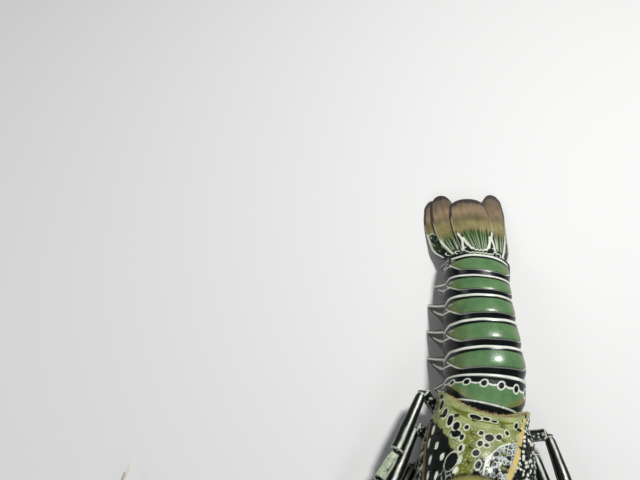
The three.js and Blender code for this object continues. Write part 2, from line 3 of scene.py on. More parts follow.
import bpy
import numpy as np
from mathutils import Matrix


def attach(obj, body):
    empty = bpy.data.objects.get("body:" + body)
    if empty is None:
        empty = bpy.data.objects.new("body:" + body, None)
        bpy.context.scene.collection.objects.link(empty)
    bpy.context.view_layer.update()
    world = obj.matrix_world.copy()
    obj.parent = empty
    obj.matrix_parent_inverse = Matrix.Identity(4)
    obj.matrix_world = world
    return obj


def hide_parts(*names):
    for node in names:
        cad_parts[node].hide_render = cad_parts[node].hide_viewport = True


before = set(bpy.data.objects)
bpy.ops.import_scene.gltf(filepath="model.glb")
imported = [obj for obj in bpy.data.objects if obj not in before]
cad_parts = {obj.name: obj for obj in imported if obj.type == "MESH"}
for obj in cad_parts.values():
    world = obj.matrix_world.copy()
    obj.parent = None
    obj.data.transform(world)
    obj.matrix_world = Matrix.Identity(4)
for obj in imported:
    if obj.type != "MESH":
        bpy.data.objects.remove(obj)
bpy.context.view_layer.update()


# The view: the animal lies on a pale floor under soft lights, seen from above and behind
# its tail, a little to its right. The head and the feelers run out of the picture below.
camera_data = bpy.data.cameras.new("camera")
camera_data.sensor_width = 36
camera_data.lens = 36
camera_data.clip_start = 0.01
camera = bpy.data.objects.new("camera", camera_data)
camera.location = (-0.0867, -0.022, 0.4615)
camera.rotation_euler = (math.radians(90 - 63.9), 0, math.radians(2.7))
bpy.context.scene.collection.objects.link(camera)
bpy.context.scene.camera = camera


def soft_light(name, place, turn, size, power):
    data = bpy.data.lights.new(name, "AREA")
    data.shape = "DISK"
    data.size = size
    data.energy = power
    lamp = bpy.data.objects.new(name, data)
    lamp.location = place
    lamp.rotation_euler = [math.radians(angle) for angle in turn]
    bpy.context.scene.collection.objects.link(lamp)


soft_light("window", (0.35, 0.5, 1.0), (-26, 18, 0), 0.2, 13)
soft_light("side", (-1.0, 0.1, 0.8), (0, -52, 0), 0.6, 3)
soft_light("front", (0.25, -1.1, 0.9), (50, 0, 12), 0.6, 3.5)

world = bpy.data.worlds.new("room")
world.use_nodes = True
sky = world.node_tree.nodes["Background"]
sky.inputs["Color"].default_value = (0.8, 0.88, 1.0, 1)
sky.inputs["Strength"].default_value = 0.15
bpy.context.scene.world = world
bpy.context.scene.view_settings.view_transform = "Standard"

floor_mesh = bpy.data.meshes.new("floor")
floor_mesh.from_pydata([(-3, -3, 0), (3, -3, 0), (3, 3, 0), (-3, 3, 0)], [], [(0, 1, 2, 3)])
floor = bpy.data.objects.new("floor", floor_mesh)
bpy.context.scene.collection.objects.link(floor)
floor_paint = bpy.data.materials.new("floor_paint")
floor_paint.use_nodes = True
floor_surface = floor_paint.node_tree.nodes["Principled BSDF"]
floor_surface.inputs["Base Color"].default_value = (0.66, 0.66, 0.64, 1)
floor_surface.inputs["Roughness"].default_value = 0.6
floor_mesh.materials.append(floor_paint)


# Tail rings: six rings of smooth, wet shell, each hinged under the rim of the one before it.
# A green saddle lies across each, fenced by black, with one bold white band at its rear.
# A flap hangs from each side. Sizes are in millimetres in a straight body until they are settled.
RING_LENGTHS = [20, 19.5, 20, 19, 16, 19]
TAIL_LENGTH = sum(RING_LENGTHS)
GAP = 0.3
FAN_ROOT = TAIL_LENGTH + GAP
TAIL_JOINT = (17.628, 69.209)
FRONT_HEADING = 10.5
BENDS = [(5, 20, -11.5), (60, 40, 7), (114, 16, -10)]
CROWN_LEAN, LEAN_HEIGHT = 0.12, 15
SIDES = {"left": 1, "right": -1}
TAIL = {
    "length": TAIL_LENGTH,
    "heading": 1,
    "half_width": [27.2, 26.8, 26, 24.8, 23.8, 23, 22.5],
    "crown": [46, 48, 47.5, 45.5, 42.5, 38, 32],
    "widest": [21, 21, 20, 19, 18, 17, 16],
    "belly": [11, 11, 11, 11, 10.5, 10, 9.5],
}
EDGE_ANGLE = math.radians(125)
THIRD_RING_GIRTH = 46.8
UNDERSIDE_STEP = 2.5


def along(keys, t):
    # The value at share t of the way through evenly placed keys, as a smooth curve through them.
    keys = np.asarray(keys, float)
    last = len(keys) - 1
    at = np.clip(t, 0, 1) * last
    i = np.minimum(at.astype(int), last - 1)
    f = at - i
    before, start = keys[np.maximum(i - 1, 0)], keys[i]
    end, after = keys[i + 1], keys[np.minimum(i + 2, last)]
    cubic = 3 * (start - end) + after - before
    return start + 0.5 * f * (end - before + f * (2 * before - 5 * start + 4 * end - after + f * cubic))


def smooth(low, high, value):
    t = np.clip((value - low) / (high - low), 0, 1)
    return t * t * (3 - 2 * t)


def swell(distance, width):
    return np.exp(-((distance / width) ** 2))


def inked(distance, half, soft=0.25):
    # One within half of a line, and nought beyond it.
    return 1 - smooth(half - soft, half + soft, np.abs(distance))


def shell_point(shell, y, angle, relief=0.0):
    # A point of a shell's section at y, with its angle measured from the crown.
    t = shell["heading"] * y / shell["length"]
    sizes = ("half_width", "crown", "widest", "belly")
    width, crown, widest, belly = (along(shell[size], t) for size in sizes)
    turn = np.abs(angle)
    down = np.clip((turn - np.pi / 2) / (EDGE_ANGLE - np.pi / 2), 0, 1)
    round_x = width * np.sin(np.minimum(turn, np.pi / 2)) ** 0.87
    round_z = (crown - widest) * np.cos(np.minimum(turn, np.pi / 2)) ** 0.87
    flank_x = width * (1 - 0.16 * down**2)
    flat_x = width * 0.84 * (np.pi - turn) / (np.pi - EDGE_ANGLE)
    x = np.where(turn <= np.pi / 2, round_x, np.where(turn <= EDGE_ANGLE, flank_x, flat_x))
    z = np.where(turn <= np.pi / 2, widest + round_z, widest + (belly - widest) * down)
    reach = np.hypot(x, z - widest)
    scale = (reach + relief) / reach
    return np.stack([np.sign(angle) * x * scale, y, widest + (z - widest) * scale], -1)


def rear_margin(angle):
    # How far the carapace's rear edge lies behind the tail joint.
    turn = np.abs(angle)
    above = 5 - 13 * np.cos(turn) ** 2
    below = 5 - 6 * smooth(np.pi / 2, EDGE_ANGLE, turn)
    return np.where(turn <= np.pi / 2, above, below)


def heading_at(y):
    turned = sum(turn * np.clip((y - start) / length, 0, 1) for start, length, turn in BENDS)
    return np.radians(FRONT_HEADING + turned)


# The midline curves a little along the tail. It starts at the tail joint, which the origin's place fixes.
MIDLINE = np.arange(180)
MIDLINE_HEADING = heading_at(MIDLINE[:-1] + 0.5)
MIDLINE_X = TAIL_JOINT[0] + np.concatenate([[0], np.cumsum(np.sin(MIDLINE_HEADING))])
MIDLINE_Y = TAIL_JOINT[1] + np.concatenate([[0], np.cumsum(np.cos(MIDLINE_HEADING))])


def settle(points):
    # Lays points of the straight body along the midline. The crown of the tail leans to the left.
    x, y, z = points[..., 0], points[..., 1], points[..., 2]
    station = np.clip(y, 0, MIDLINE[-1])
    sine, cosine = np.sin(heading_at(station)), np.cos(heading_at(station))
    onward = y - station
    aside = x + CROWN_LEAN * (z - LEAN_HEIGHT) * smooth(5, 30, y)
    laid_x = np.interp(station, MIDLINE, MIDLINE_X) + cosine * aside + sine * onward
    laid_y = np.interp(station, MIDLINE, MIDLINE_Y) - sine * aside + cosine * onward
    return np.stack([laid_x, laid_y, z], -1) / 1000


def new_form():
    return {"points": [], "quads": [], "corners": [], "marks": [], "count": 0}


def add_skin(form, grid, marks):
    # A closed skin: each row of the grid is a loop around the piece, and both ends are shut.
    rows, columns = grid.shape[:2]
    index = form["count"] + np.arange(rows * columns).reshape(rows, columns)
    after = np.roll(index, -1, axis=1)
    quads = np.stack([index[:-1], after[:-1], after[1:], index[1:]], -1).reshape(-1, 4)
    ends = np.array([form["count"] + rows * columns, form["count"] + rows * columns + 1])
    first = np.stack([after[0], index[0], np.full(columns, ends[0])], -1)
    last = np.stack([index[-1], after[-1], np.full(columns, ends[1])], -1)
    points = np.concatenate([grid.reshape(-1, 3), [grid[0].mean(0), grid[-1].mean(0)]])
    a, b, c, d = (points[quads[:, k] - form["count"]] for k in range(4))
    volume = np.einsum("ij,ij->", a, np.cross(b, c)) + np.einsum("ij,ij->", a, np.cross(c, d))
    corners = np.concatenate([first, last])
    e, f, g = (points[corners[:, k] - form["count"]] for k in range(3))
    volume += np.einsum("ij,ij->", e, np.cross(f, g))
    if volume < 0:
        quads, corners = quads[:, ::-1], corners[:, ::-1]
    flat = np.stack([np.broadcast_to(mark, (rows, columns)) for mark in marks], -1)
    flat = np.concatenate([flat.reshape(rows * columns, -1), [flat[0].mean(0), flat[-1].mean(0)]])
    form["points"].append(points)
    form["quads"].append(quads)
    form["corners"].append(corners)
    form["marks"].append(flat)
    form["count"] += len(points)


def make_piece(name, form, mark_names, material, nodes):
    # A mesh from a form: its marks are kept as point attributes, and it stands for the nodes.
    points = settle(np.concatenate(form["points"]))
    points[:, 2] = np.maximum(points[:, 2], 0)
    quads, corners = np.concatenate(form["quads"]), np.concatenate(form["corners"])
    around = np.concatenate([quads.ravel(), corners.ravel()])
    mesh = bpy.data.meshes.new(name)
    mesh.vertices.add(len(points))
    mesh.loops.add(quads.size + corners.size)
    mesh.polygons.add(len(quads) + len(corners))
    mesh.vertices.foreach_set("co", points.astype(np.float32).ravel())
    mesh.loops.foreach_set("vertex_index", around.astype(np.int32))
    starts = np.concatenate([np.arange(len(quads)) * 4, quads.size + np.arange(len(corners)) * 3])
    mesh.polygons.foreach_set("loop_start", starts.astype(np.int32))
    mesh.update(calc_edges=True)
    mesh.shade_smooth()
    marks = np.concatenate(form["marks"])
    for column, mark in enumerate(mark_names):
        layer = mesh.attributes.new(mark, "FLOAT", "POINT")
        layer.data.foreach_set("value", marks[:, column].astype(np.float32))
    mesh.materials.append(material)
    piece = bpy.data.objects.new(name, mesh)
    bpy.context.scene.collection.objects.link(piece)
    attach(piece, "root")
    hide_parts(*nodes)


def add_node(tree, kind, values=None, **settings):
    # A new node. Its values are numbers, colours or the outputs that feed its inputs.
    node = tree.nodes.new(kind)
    for key, value in settings.items():
        setattr(node, key, value)
    for key, value in (values or {}).items():
        if isinstance(value, bpy.types.NodeSocket):
            tree.links.new(value, node.inputs[key])
        else:
            node.inputs[key].default_value = value
    return node


def shell_grain_group():
    # Fine and broad mottling of the shell, and the tiny pits and bumps of its surface.
    tree = bpy.data.node_groups.new("shell grain", "ShaderNodeTree")
    for socket, start in (("Fine Scale", 1400.0), ("Broad Scale", 90.0)):
        made = tree.interface.new_socket(socket, in_out="INPUT", socket_type="NodeSocketFloat")
        made.default_value = start
    for socket in ("Fine", "Broad", "Height"):
        tree.interface.new_socket(socket, in_out="OUTPUT", socket_type="NodeSocketFloat")
    scales = tree.nodes.new("NodeGroupInput").outputs
    place = tree.nodes.new("ShaderNodeTexCoord").outputs["Object"]
    fine_noise = {"Vector": place, "Scale": scales["Fine Scale"], "Detail": 3.0, "Roughness": 0.65}
    fine = add_node(tree, "ShaderNodeTexNoise", fine_noise).outputs["Fac"]
    broad_noise = {"Vector": place, "Scale": scales["Broad Scale"], "Detail": 4.0, "Roughness": 0.6}
    broad = add_node(tree, "ShaderNodeTexNoise", broad_noise).outputs["Fac"]
    pits = add_node(tree, "ShaderNodeTexVoronoi", {"Vector": place, "Scale": 900.0})
    terms = {0: pits.outputs["Distance"], 1: 0.5, 2: fine}
    total = add_node(tree, "ShaderNodeMath", terms, operation="MULTIPLY_ADD")
    add_node(tree, "NodeGroupOutput", {"Fine": fine, "Broad": broad, "Height": total.outputs[0]})
    return tree


SHELL_GRAIN = shell_grain_group()


def shell_material(
    name, ground, inks, gloss=(0.24, 0.46), coat=0.12, shine=0.28, depth=0.00012, fine=1400, broad=90
):
    # ground is the colour under all inks. Each ink is laid over those before it where its mark is.
    material = bpy.data.materials.new(name)
    material.use_nodes = True
    tree = material.node_tree
    scales = {"Fine Scale": fine, "Broad Scale": broad}
    grain = add_node(tree, "ShaderNodeGroup", scales, node_tree=SHELL_GRAIN)
    fine_grain, broad_grain, height = grain.outputs

    def varied(pair):
        # A colour that wanders between two shades, mostly broadly and a little finely.
        part = add_node(tree, "ShaderNodeMath", {0: fine_grain, 1: 0.4}, operation="MULTIPLY")
        terms = {0: broad_grain, 1: 0.6, 2: part.outputs[0]}
        total = add_node(tree, "ShaderNodeMath", terms, operation="MULTIPLY_ADD")
        span = {"Value": total.outputs[0], "From Min": 0.36, "From Max": 0.64}
        share = add_node(tree, "ShaderNodeMapRange", span)
        shades = {"Factor": share.outputs[0], "A": (*pair[0], 1), "B": (*pair[1], 1)}
        return add_node(tree, "ShaderNodeMix", shades, data_type="RGBA").outputs["Result"]

    colour = varied(ground)
    for mark, pair in inks:
        cover = add_node(tree, "ShaderNodeAttribute", attribute_name=mark)
        layers = {"Factor": cover.outputs["Fac"], "A": colour, "B": varied(pair)}
        colour = add_node(tree, "ShaderNodeMix", layers, data_type="RGBA").outputs["Result"]
    span = {"Value": fine_grain, "From Min": 0.3, "From Max": 0.7}
    rough = add_node(tree, "ShaderNodeMapRange", {**span, "To Min": gloss[0], "To Max": gloss[1]})
    bump = add_node(tree, "ShaderNodeBump", {"Strength": 0.6, "Distance": depth, "Height": height})
    surface = tree.nodes["Principled BSDF"].inputs
    tree.links.new(colour, surface["Base Color"])
    tree.links.new(rough.outputs[0], surface["Roughness"])
    tree.links.new(bump.outputs["Normal"], surface["Normal"])
    surface["Coat Weight"].default_value = coat
    surface["Coat Roughness"].default_value = 0.08
    surface["Specular IOR Level"].default_value = shine
    return material


tail_shell = shell_material(
    "tail_shell",
    ((0.002, 0.003, 0.003), (0.006, 0.008, 0.007)),
    [
        ("green", ((0.058, 0.14, 0.06), (0.128, 0.22, 0.09))),
        ("tan", ((0.1, 0.11, 0.02), (0.19, 0.17, 0.04))),
        ("white", ((0.55, 0.58, 0.48), (0.8, 0.82, 0.74))),
        ("under", ((0.42, 0.42, 0.3), (0.6, 0.58, 0.44))),
    ],
    gloss=(0.13, 0.3),
    coat=0.09,
    shine=0.2,
)
TAIL_MARKS = ("green", "tan", "white", "under")


def tail_marks(index, back, reach, angle, wobble):
    # back is the distance forward of the rear rim, and reach is the distance down the side from
    # the crown, as if every ring were as large as the third.
    side = np.abs(reach)
    length = RING_LENGTHS[index]
    back = back * 20 / length if index else back
    if index == 0:
        band = inked(back - 1.5 - 4 * smooth(34, 52, side), 0.8 - 0.35 * smooth(40, 60, side))
        nearest = np.abs((side % 12) - 6)
        spot = np.hypot(nearest, back - 7.2)
        scallop = inked(back - 7.2 - 0.5 * np.cos(side * np.pi / 6), 0.45) * (side < 44)
        rim = inked(spot - 2.5, 0.4) * (side < 44)
        hole = spot < 2.2
        front_edge = 19.4 - 12 * smooth(10, 42, side)
        green = smooth(7.2, 7.7, back) * (1 - smooth(front_edge - 0.4, front_edge + 0.4, back)) * ~hole
        front = inked(back - 20, 0.4) * (side < 30)
        tan = green * smooth(6, 0, front_edge - back) * smooth(8, 22, side)
        stray = inked(back - 13 + 0.12 * (side - 40), 0.4) * (side > 40) * (side < 60)
        white = np.clip(band + scallop * ~hole + rim + front + stray, 0, 1)
    else:
        rim_line = 1.6 + 5.0 * smooth(32, 50, side) + 0.4 * wobble
        if index == 5:
            rim_line = rim_line + 2.5 * smooth(8, 34, side)
        band = inked(back - rim_line, 0.82 - 0.35 * smooth(44, 60, side)) * (1 - smooth(59, 61, side))
        rear = rim_line + 2.6 + 1.4 * (np.minimum(side, 34) / 31) ** 2
        front_edge = 15.3 - 7.2 * np.clip((side - 23) / 12, 0, 1.2) ** 1.3
        green = smooth(rear - 0.25, rear + 0.25, back + 0.2 * wobble)
        green = green * smooth(-0.25, 0.25, front_edge - back)
        line = 16.0 - 8.8 * np.clip((side - 23) / 17, 0, 1.2) ** 1.2 + 0.3 * wobble
        fence = inked(back - line, 0.25 + 0.3 * smooth(22, 30, side)) * (1 - smooth(38, 40, side))
        fence = fence * (0.35 + 0.65 * smooth(20, 27, side))
        lower = inked(back - 11.3 + 0.04 * (side - 34), 0.5)
        lower = lower * smooth(31, 34, side) * (1 - smooth(57, 60, side))
        bridge = inked(side - 32, 0.55) * (back > line) * (back < 11.6)
        tip = inked(back - 6.6, 0.3) * smooth(29, 31, side) * (1 - smooth(34, 36, side))
        drop = inked(np.hypot(side - 53, (back - 15.2) * 1.3), 1.3)
        rim_pale = inked(back - 0.2, 0.25) * (side > 50)
        white = np.clip(band + fence + lower + bridge + 0.7 * tip + drop + 0.6 * rim_pale, 0, 1)
        tan = green * 0.8 * smooth(14, 30, side) * (0.4 + 0.6 * smooth(3, 0, front_edge - back))
    under = smooth(np.radians(126), np.radians(132), np.abs(angle)) * (0.75 + 0.25 * np.cos(back * 0.9))
    return green, tan, white, under


def ring_relief(share):
    # A ring dips at its front, swells behind that and ends in a low lip.
    lip = 0.5 * swell(share - 0.95, 0.06) - 0.9 * smooth(0.985, 1.0, share)
    return 0.9 * np.sin(np.pi * share**0.8) - 1.1 * swell(share, 0.16) + lip


def side_reach(shell, y, angles):
    # The distance down the side from the crown for each angle of a section at y.
    section = shell_point(shell, np.full(len(angles), float(y)), angles)
    steps = np.linalg.norm(np.diff(section, axis=0), axis=1)
    reach = np.concatenate([[0], np.cumsum(steps)])
    return reach - np.interp(0, angles, reach)


def even_angles(shell, y, spacing):
    # Angles that part a section evenly, with wider steps on its flat underside.
    fine = np.linspace(-np.pi, np.pi, 3601)
    pace = np.gradient(side_reach(shell, y, fine), fine)
    pace = pace / np.where(np.abs(fine) > EDGE_ANGLE + 0.03, UNDERSIDE_STEP, 1)
    walked = np.concatenate([[0], np.cumsum(0.5 * (pace[1:] + pace[:-1]) * np.diff(fine))])
    count = int(walked[-1] / spacing)
    return np.interp(np.linspace(0, walked[-1], count, endpoint=False), walked, fine)


FLAP_ROOT_HEIGHT = 24
FLAP_TIP_HEIGHT = [3.5, 0.05, 0.05, 0.05, 0.05, 2.2]
FLAP_TIP_SHARE = [0.8, 1.14, 1.14, 1.14, 1.1, 0.9]
FLAP_TIP_FLARE = {1: [2, 3, 3, 3, 2.5, 1.5], -1: [4, 8, 8.5, 8.5, 4.5, 1.5]}


def flap_grid(index, side):
    # The skin of one side flap and its marks. The right flaps are spread wider.
    start, length = sum(RING_LENGTHS[:index]), RING_LENGTHS[index]
    tip_height, tip_share = FLAP_TIP_HEIGHT[index], FLAP_TIP_SHARE[index]
    down = np.linspace(0, 1, 60)[:, None]
    turn = np.linspace(-np.pi, np.pi, 64, endpoint=False)[None, :]
    back = 0.5 + 0.5 * np.sign(np.cos(turn)) * np.abs(np.cos(turn)) ** 0.6
    tip_y = start + tip_share * length
    front = (start + 0.1 * length) * (1 - down**1.5) + (tip_y - 1.1) * down**1.5
    rear = (start + 0.95 * length) * (1 - down**1.7) + (tip_y + 1.1) * down**1.7
    y = front + (rear - front) * back
    z = FLAP_ROOT_HEIGHT + (tip_height - FLAP_ROOT_HEIGHT) * down + 0 * back
    wall = along(TAIL["half_width"], y / TAIL_LENGTH) * (1 - 0.06 * down**2)
    wall = wall + 0.4 * smooth(0, 0.2, down) - 0.1 + FLAP_TIP_FLARE[side][index] * down**1.3
    thick = (4 - 2.5 * down) * 0.5
    x = wall - thick + thick * np.sign(np.sin(turn)) * np.abs(np.sin(turn)) ** 0.5
    grid = np.stack([side * x, y, z], -1)
    level = down**1.2
    band_y = (start + length - 4.4) * (1 - level) + tip_y * level
    band = inked(y - band_y, 0.65) * smooth(0.05, 0.15, down)
    band = np.maximum(band, smooth(0.93, 0.97, down) + 0 * back)
    fork = inked(y - (front + 0.38 * (rear - front)), 0.45)
    fork = fork * smooth(0.1, 0.2, down) * smooth(0.72, 0.6, down)
    edge = inked(y - front - 0.5, 0.3) * smooth(0.35, 0.5, down) * 0.6
    white = np.clip(band + fork + edge, 0, 1)
    under = 0.7 * (np.sin(turn) < -0.3)
    return grid, (0, 0, white * (1 - under), under)


wander = np.random.default_rng(11)
for index, length in enumerate(RING_LENGTHS):
    start, end = sum(RING_LENGTHS[:index]), sum(RING_LENGTHS[: index + 1])
    middle = (start + end) / 2
    angles = even_angles(TAIL, middle, 0.45)
    shares = np.linspace(0, 1, int(length / 0.42))
    share, angle = np.meshgrid(shares, angles, indexing="ij")
    front = start if index else rear_margin(angle)
    y = front + GAP + (end - front - GAP) * share
    reach = side_reach(TAIL, middle, angles)
    girth = side_reach(TAIL, middle, np.linspace(0, np.pi / 2, 200))[-1] / THIRD_RING_GIRTH
    phase = wander.uniform(0, 6, 3)
    wobble = np.sin(reach / 5 + phase[0]) * 0.4 + np.sin(reach / 2.3 + phase[1]) * 0.2
    marks = tail_marks(index, end - y, reach / girth, angle, wobble[None, :])
    form = new_form()
    add_skin(form, shell_point(TAIL, y, angle, ring_relief(share)), marks)
    for side in SIDES.values():
        add_skin(form, *flap_grid(index, side))
    make_piece(f"ring_{index + 1}", form, TAIL_MARKS, tail_shell, [f"tail_ring_{index + 1}"])


# Tail fan: five thin vanes of shell, hinged behind the last ring and overlapping like cards.
# Their roots are hard, black and green with cream outlines, and each runs out through olive
# into a soft brown-mauve web with fine ribs and a dark rim.
FAN_LENGTH = 58
FAN_CROWN_FRONT, FAN_CROWN_REAR = 27.5, 11.5
FAN_FALL_FRONT, FAN_FALL_REAR = 0.016, 0.0052
HARD_END = 27
VANE_HALVES = {
    "telson": [12.5, 14, 15.2, 15.8, 15.4, 13.5],
    "inner": [4.5, 8.4, 10, 10.5, 10, 8],
    "outer": [5, 9.2, 10, 10, 9, 6.8],
}
VANES = {
    "telson": {"root": 0, "tip": 0, "length": 58.5, "drop": 0, "round": 4.5, "ribs": 6},
    "inner": {"root": 13, "tip": 18, "length": 65, "drop": 2.5, "round": 7, "ribs": 4},
    "outer": {"root": 18.5, "tip": 22, "length": 62, "drop": 5, "round": 7, "ribs": 3},
}
VANE_SPREAD = {"left": {"inner": 4.5, "outer": 1}, "right": {"inner": 1, "outer": 3}}
FAN_MARKS = ("green", "tan", "soft", "rim", "white")


def add_sheet(form, top, bottom, marks, lower_marks):
    # A thin closed sheet between two grids, joined all round its edge.
    rows, columns = top.shape[:2]
    upper = form["count"] + np.arange(rows * columns).reshape(rows, columns)
    lower = upper + rows * columns
    faces = []
    for index, flip in ((upper, 1), (lower, -1)):
        ring = [index[:-1, :-1], index[:-1, 1:], index[1:, 1:], index[1:, :-1]][::flip]
        faces.append(np.stack(ring, -1).reshape(-1, 4))

    def border(index):
        return np.concatenate([index[0, :-1], index[:-1, -1], index[-1, :0:-1], index[:0:-1, 0]])

    a, b = border(upper), border(lower)
    faces.append(np.stack([a, b, np.roll(b, -1), np.roll(a, -1)], -1))
    points = np.concatenate([top.reshape(-1, 3), bottom.reshape(-1, 3)])
    quads = np.concatenate(faces)
    p, q, r, s = (points[quads[:, k] - form["count"]] for k in range(4))
    volume = np.einsum("ij,ij->", p, np.cross(q, r)) + np.einsum("ij,ij->", p, np.cross(r, s))
    form["points"].append(points)
    form["quads"].append(quads if volume > 0 else quads[:, ::-1])
    form["corners"].append(np.zeros((0, 3), int))
    for layers in (marks, lower_marks):
        flat = np.stack([np.broadcast_to(mark, (rows, columns)) for mark in layers], -1)
        form["marks"].append(flat.reshape(-1, len(marks)))
    form["count"] += len(points)


def vane_marks(kind, far, across, x, half, streak_seed):
    # far is the distance from the root and across runs from -1 at the inner edge to 1 at the outer.
    random = np.random.default_rng(streak_seed)
    edge = half * (1 - np.abs(across))
    theta = np.arctan2(x, far + 16)
    ragged = sum(np.sin(theta * k + p) for k, p in zip((47, 83, 131), random.uniform(0, 6, 3)))
    streak = 0.5 + 0.5 * np.sin(theta * (104 if kind == "telson" else 88) + 1.4 * np.sin(theta * 31 + 2))
    dashes = smooth(0.25, 0.75, streak)
    hard_end = HARD_END + 1.6 * ragged
    thin_edge = inked(edge - 0.5, 0.16, 0.2)
    if kind == "telson":
        side = np.abs(x)
        cup = 6.2 + 13.5 * np.clip(side / 10.4, 0, 1.1) ** 3.2 + 0.5 * np.sin(x * 2.2)
        slope = 13.5 * 3.2 / 10.4 * np.clip(side / 10.4, 0, 1.1) ** 2.2
        off = (far - cup) / np.hypot(1, slope)
        white = inked(off, 0.62 + 0.35 * smooth(3, 8, side)) * (side < 11.6) * (1 - smooth(19.5, 21, far))
        inside = smooth(0.3, 1.2, off)
        snake = edge - 1.7 - 1.5 * swell(far - 18, 5.5)
        white = white + inked(snake, 0.75) * smooth(6, 8, far) * (1 - smooth(24, 26.5, far))
        base_line = far - 3.6 - 0.35 * np.sin(x * 1.9) - 0.02 * side**2 * smooth(8, 12, side)
        white = white + inked(base_line, 0.5) * (side < 13)
        hook = np.hypot(side - 11.2, far - 7.6)
        white = white + inked(hook - 1.9, 0.45) * smooth(-1.5, 0.5, side - 11.2 + 0.6 * (far - 7.6))
        green = inside * (1 - smooth(0, 3, far - hard_end)) * (0.15 + 0.85 * dashes)
        pale_root = inside * dashes * (1 - smooth(12, 23, far)) * 0.4
        tan_root = (1 - smooth(2.2, 2.8, far)) * 0.8
        web = smooth(-3.5, 2, far - hard_end + 1)
    elif kind == "inner":
        outer_edge = half * (1 - across)
        inner_edge = half * (1 + across)
        white = inked(outer_edge - 1.0 - 0.6 * swell(far - 12, 6), 0.75) * smooth(3, 5, far) * (far < 27)
        inner_line = inked(inner_edge - 1.6 - 1.4 * swell(far - 17, 5), 0.6)
        white = white + inner_line * smooth(8, 10, far) * (far < 25)
        loop = np.hypot(x - 0.8, far - 5.2)
        white = white + inked(loop - 2.0 - 0.3 * np.sin(4 * np.arctan2(far - 5.2, x)), 0.45)
        bar = inked(x + 1.0 + 0.12 * (far - 16), 0.55) * smooth(10, 12, far) * (1 - smooth(19, 22, far))
        white = white + 0.7 * bar
        room = smooth(1.6, 2.6, outer_edge) * smooth(2.2, 3.2, inner_edge) * smooth(8, 10, far)
        green = room * (1 - smooth(0, 3, far - hard_end + 3)) * (0.1 + 0.9 * dashes)
        pale_root = room * dashes * (1 - smooth(14, 24, far)) * 0.5
        tan_root = 0
        web = smooth(-3.5, 2, far - hard_end + 3)
    else:
        outer_edge = half * (1 - across)
        seam = 33 - 5.5 * (1 - across) - 0.6 * np.sin(x * 1.7)
        white = inked(outer_edge - 0.8, 0.5) * (far < 33) * smooth(1.5, 3, far)
        white = white + inked((far - seam) * 0.8, 0.5)
        white = white + inked(half * (1 + across) - 0.9, 0.35) * (far < seam) * smooth(2, 4, far)
        white = white + inked(np.hypot(x - 0.4, far - 6.5) - 2.1, 0.42)
        lines = 0.5 + 0.5 * np.sin(theta * 75 + 1.2 * np.sin(far * 0.5))
        dash = smooth(0.9, 0.97, lines) * smooth(0.2, 0.6, np.sin(far * 0.75 + 2.2 * np.sin(theta * 20)))
        white = white + 0.55 * dash * (far > 11) * (far < seam - 2)
        green = 0.25 * dashes * smooth(10, 14, far) * (far < seam)
        pale_root = tan_root = 0
        web = smooth(-0.3, 0.5, far - seam)
    length = VANES[kind]["length"]
    tan = np.clip(web * (1 - smooth(33, 46, far)) + tan_root, 0, 1)
    soft = web * smooth(34, 47, far)
    rim = web * (1 - smooth(0.8, 2.2 + 2.0 * smooth(0.55, 0, np.abs(across)), edge)) * smooth(38, 46, far)
    rim = np.maximum(rim, web * smooth(length - 5.5, length - 2.5, far + 0.9 * np.abs(ragged)))
    rim = np.maximum(rim, 0.6 * web * smooth(44, 58, far))
    white = np.clip(white, 0, 1) * (1 - web) + 0.75 * thin_edge * smooth(3, 6, far) * (1 - rim)
    white = np.clip(white + pale_root * 0.8, 0, 1)
    return np.clip(green, 0, 1) * (1 - web), tan, soft, rim * 0.9, white


def vane_form(kind, side, spread):
    plan = VANES[kind]
    rows, columns = int(plan["length"] / 0.4), int(2 * max(VANE_HALVES[kind]) / 0.4)
    back = np.linspace(0, 1, rows)[:, None]
    across = np.linspace(-1, 1, columns)[None, :]
    half = along(VANE_HALVES[kind], back)
    x = plan["root"] + (plan["tip"] + spread - plan["root"]) * back**0.7 + half * across
    tail_off = plan["round"] * np.abs(across) ** 2.5 * back**2
    y = FAN_ROOT + plan["length"] * back - tail_off
    share = plan["length"] * back / FAN_LENGTH
    crown = FAN_CROWN_FRONT + (FAN_CROWN_REAR - FAN_CROWN_FRONT) * share**0.85
    fall = FAN_FALL_FRONT + (FAN_FALL_REAR - FAN_FALL_FRONT) * share
    surface = crown - fall * x**2 - plan["drop"]
    ribs = 0.22 * smooth(0.4, 0.6, back) * np.cos(np.pi * plan["ribs"] * across)
    ribs = ribs + 0.05 * smooth(0.4, 0.55, back) * np.cos(np.pi * 19 * across)
    thick = along([2.1, 2, 1.6, 1.3, 1.1, 1], back)
    edge = np.minimum(half * (1 - np.abs(across)), plan["length"] * (1 - back))
    thin = 0.3 + 0.7 * smooth(0, 1.2, edge)
    middle = surface - thick / 2
    top = np.stack([side * x, y, middle + (thick / 2 + ribs) * thin], -1)
    bottom = np.stack([side * x, y, middle - thick / 2 * thin], -1)
    far = plan["length"] * back
    seed = 20 + 2 * list(VANES).index(kind) + (side > 0)
    marks = vane_marks(kind, far + 0 * across, across + 0 * far, half * across, half + 0 * across, seed)
    form = new_form()
    green, tan, soft, rim, white = marks
    add_sheet(form, top, bottom, marks, (0.3 * green, tan + 0.3 * (1 - soft), soft, rim * 0.6, white * 0.6))
    return form


